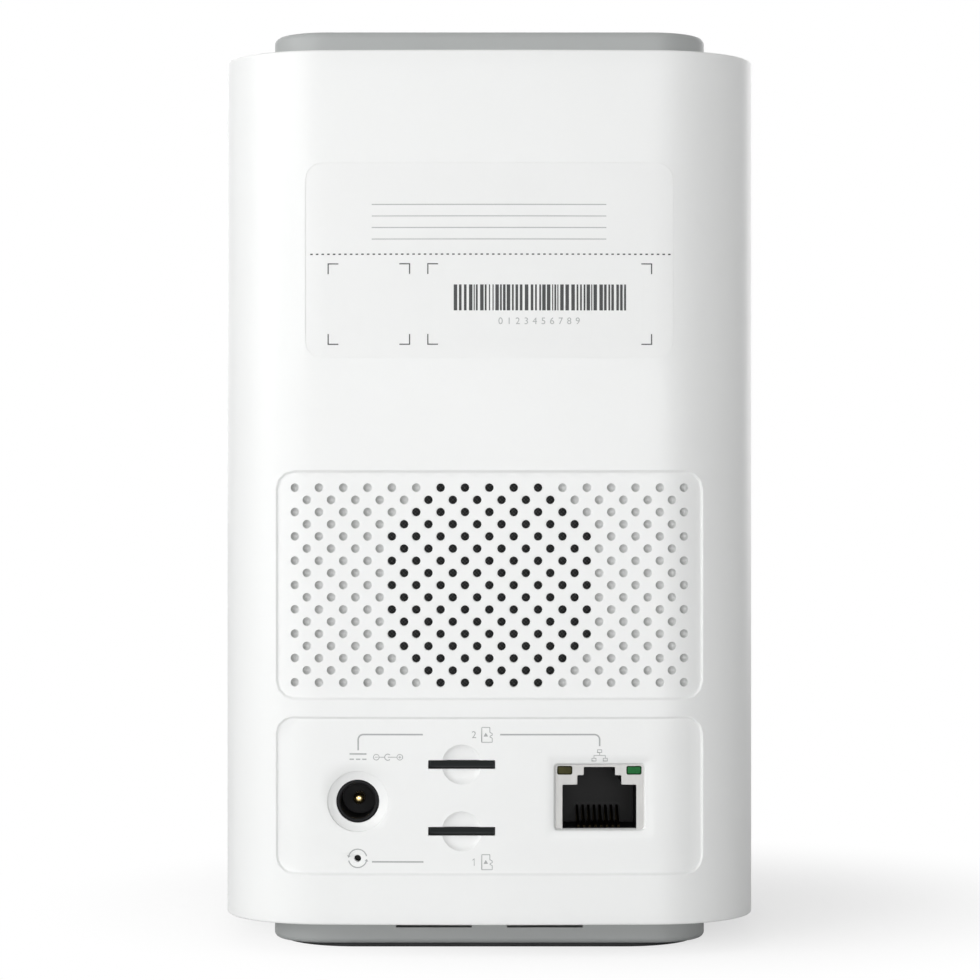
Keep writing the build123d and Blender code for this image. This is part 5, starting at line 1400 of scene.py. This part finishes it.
def numerals(name, text, place, height, slot, ink, inset):
    """Plain numbers: type is made a mesh, sized to a height and laid on the back about a place (x, z)."""
    curve = bpy.data.curves.new(name, "FONT")
    curve.body = text
    curve.align_x, curve.align_y = "CENTER", "CENTER"
    curve.size, curve.extrude, curve.space_character = 1.4 * height, ink_film, 1.12
    typed = bpy.data.objects.new(name + "_type", curve)
    scene.collection.objects.link(typed)
    bpy.context.view_layer.update()
    mesh = bpy.data.meshes.new_from_object(typed.evaluated_get(bpy.context.evaluated_depsgraph_get()))
    bpy.data.objects.remove(typed)
    points = np.zeros(len(mesh.vertices) * 3)
    mesh.vertices.foreach_get("co", points)
    points = points.reshape(-1, 3)
    x, z = points[:, 0] + place[0], points[:, 1] + place[1]
    laid = coords(x, back_y(x, inset) - points[:, 2], z) * MILLIMETRE
    mesh.vertices.foreach_set("co", laid.ravel())
    mesh.materials.clear()
    clean(mesh, 1e-7)
    placed(name, mesh, slot, finish=ink, crease=20.0)


port_prints()
serial_sticker()
label_prints()
numerals("slot_number_upper", "2", px(*upper_number_at), 1.25, "white_shell", "grey_ink", panel_depth)
numerals("label_numbers", "0 1 2 3 4 5 6 7 8 9", px(*label_numbers_at), 1.2, "label_film", "pale_ink",
         sticker_inset)

# Camera at the photograph's place: level, straight at the back
camera_distance, camera_lens, camera_sensor = 0.5932, 113.9, 36.0
camera_shift_x, camera_shift_y = 0.0006, -0.0026
camera_near, camera_far = 0.01, 60.0
camera = bpy.data.objects.new("photo_camera", bpy.data.cameras.new("photo_camera"))
scene.collection.objects.link(camera)
camera.location = (0, -camera_distance, camera_height * MILLIMETRE)
camera.rotation_euler = (QUARTER, 0, 0)
camera.data.sensor_width, camera.data.lens = camera_sensor, camera_lens
camera.data.shift_x, camera.data.shift_y = camera_shift_x, camera_shift_y
camera.data.clip_start, camera.data.clip_end = camera_near, camera_far
scene.camera = camera
scene.view_settings.view_transform = "Standard"

# Rectangular studio lamps: place, width and height in metres, and watts; all are turned to one aim
lamp_aim = np.array([0, 0, 0.08])
softboxes = {
    "key_softbox": ((-0.85, -1.2, 0.4), (0.5, 0.5), 4.85),
    "left_softbox": ((-1.25, -0.45, 0.4), (0.6, 0.8), 5.7),
    "low_fill_softbox": ((0.1, -1.45, 0.05), (0.9, 0.3), 9.8),
    "right_softbox": ((1.3, 0.15, 0.35), (0.9, 0.9), 1.4),
    "right_rim_softbox": ((0.75, 1.2, 0.35), (0.5, 0.9), 2.7),
    "front_softbox": ((-0.2, 1.5, 0.5), (0.9, 0.9), 6.0),
    "top_softbox": ((-0.4, -0.1, 1.5), (0.9, 0.9), 3.2),
}
for lamp_name, (place, (width, height), power) in softboxes.items():
    data = bpy.data.lights.new(lamp_name, "AREA")
    data.shape, data.size, data.size_y, data.energy = "RECTANGLE", width, height, power
    lamp = bpy.data.objects.new(lamp_name, data)
    scene.collection.objects.link(lamp)
    way = lamp_aim - np.array(place)
    way = way / np.linalg.norm(way)
    lamp.rotation_euler = (math.atan2(math.hypot(way[0], way[1]), -way[2]), 0, math.atan2(-way[0], way[1]))
    lamp.location = place


def studio_world(strength):
    """Even surround: a plain strength for light, and white where the camera or a reflection sees it."""
    world = bpy.data.worlds.new("studio")
    world.use_nodes = True
    nodes = Nodes(world.node_tree)
    back = nodes.tree.nodes["Background"]
    back.inputs["Color"].default_value = (1, 1, 1, 1)
    seen = nodes.ray("Camera").largest(nodes.ray("Glossy")).largest(nodes.ray("Transmission"))
    nodes.link(seen * (1 - strength) + strength, back.inputs["Strength"])
    scene.world = world


# The floor: half its side and the middle and edges of the soft pool of shadow, in metres; how much of the
# white cover lies in that pool, and its grey for light and for the camera
floor_reach = 6.0
pool_x, pool_y, pool_inner, pool_outer = 0.02, 0.03, 0.03, 0.115
pool_cover = 0.59
floor_light, floor_seen = 0.85, 0.98


def studio_floor():
    """Pale floor that keeps the object's shadow and fades to the white surround away from it."""
    mesh = bpy.data.meshes.new("studio_floor")
    corners = [(x * floor_reach, y * floor_reach, 0) for x, y in ((-1, -1), (1, -1), (1, 1), (-1, 1))]
    mesh.from_pydata(corners, [], [(0, 1, 2, 3)])
    floor = bpy.data.objects.new("studio_floor", mesh)
    scene.collection.objects.link(floor)
    made = Finish("floor_white", (0.9, 0.9, 0.9), 0.9)
    x, y, _ = made.axes()
    x, y = x - pool_x, y - pool_y
    far = (x * x + y * y).power(0.5).step(pool_inner, pool_outer) * (1 - pool_cover) + pool_cover
    camera_ray = made.ray("Camera")
    made.feed("Base Color", made.mixed(camera_ray, (floor_light,) * 3, (floor_seen,) * 3))
    glow = made.node("ShaderNodeEmission", {}, {"Color": (1, 1, 1, 1), "Strength": 1.0})
    cover = made.node("ShaderNodeMixShader", {}, {0: camera_ray * far, 2: glow})
    made.tree.links.new(made.shader.outputs[0], cover.socket.node.inputs[1])
    made.link(cover, made.tree.nodes["Material Output"].inputs["Surface"])
    mesh.materials.append(made.material)


studio_world(0.165)
studio_floor()
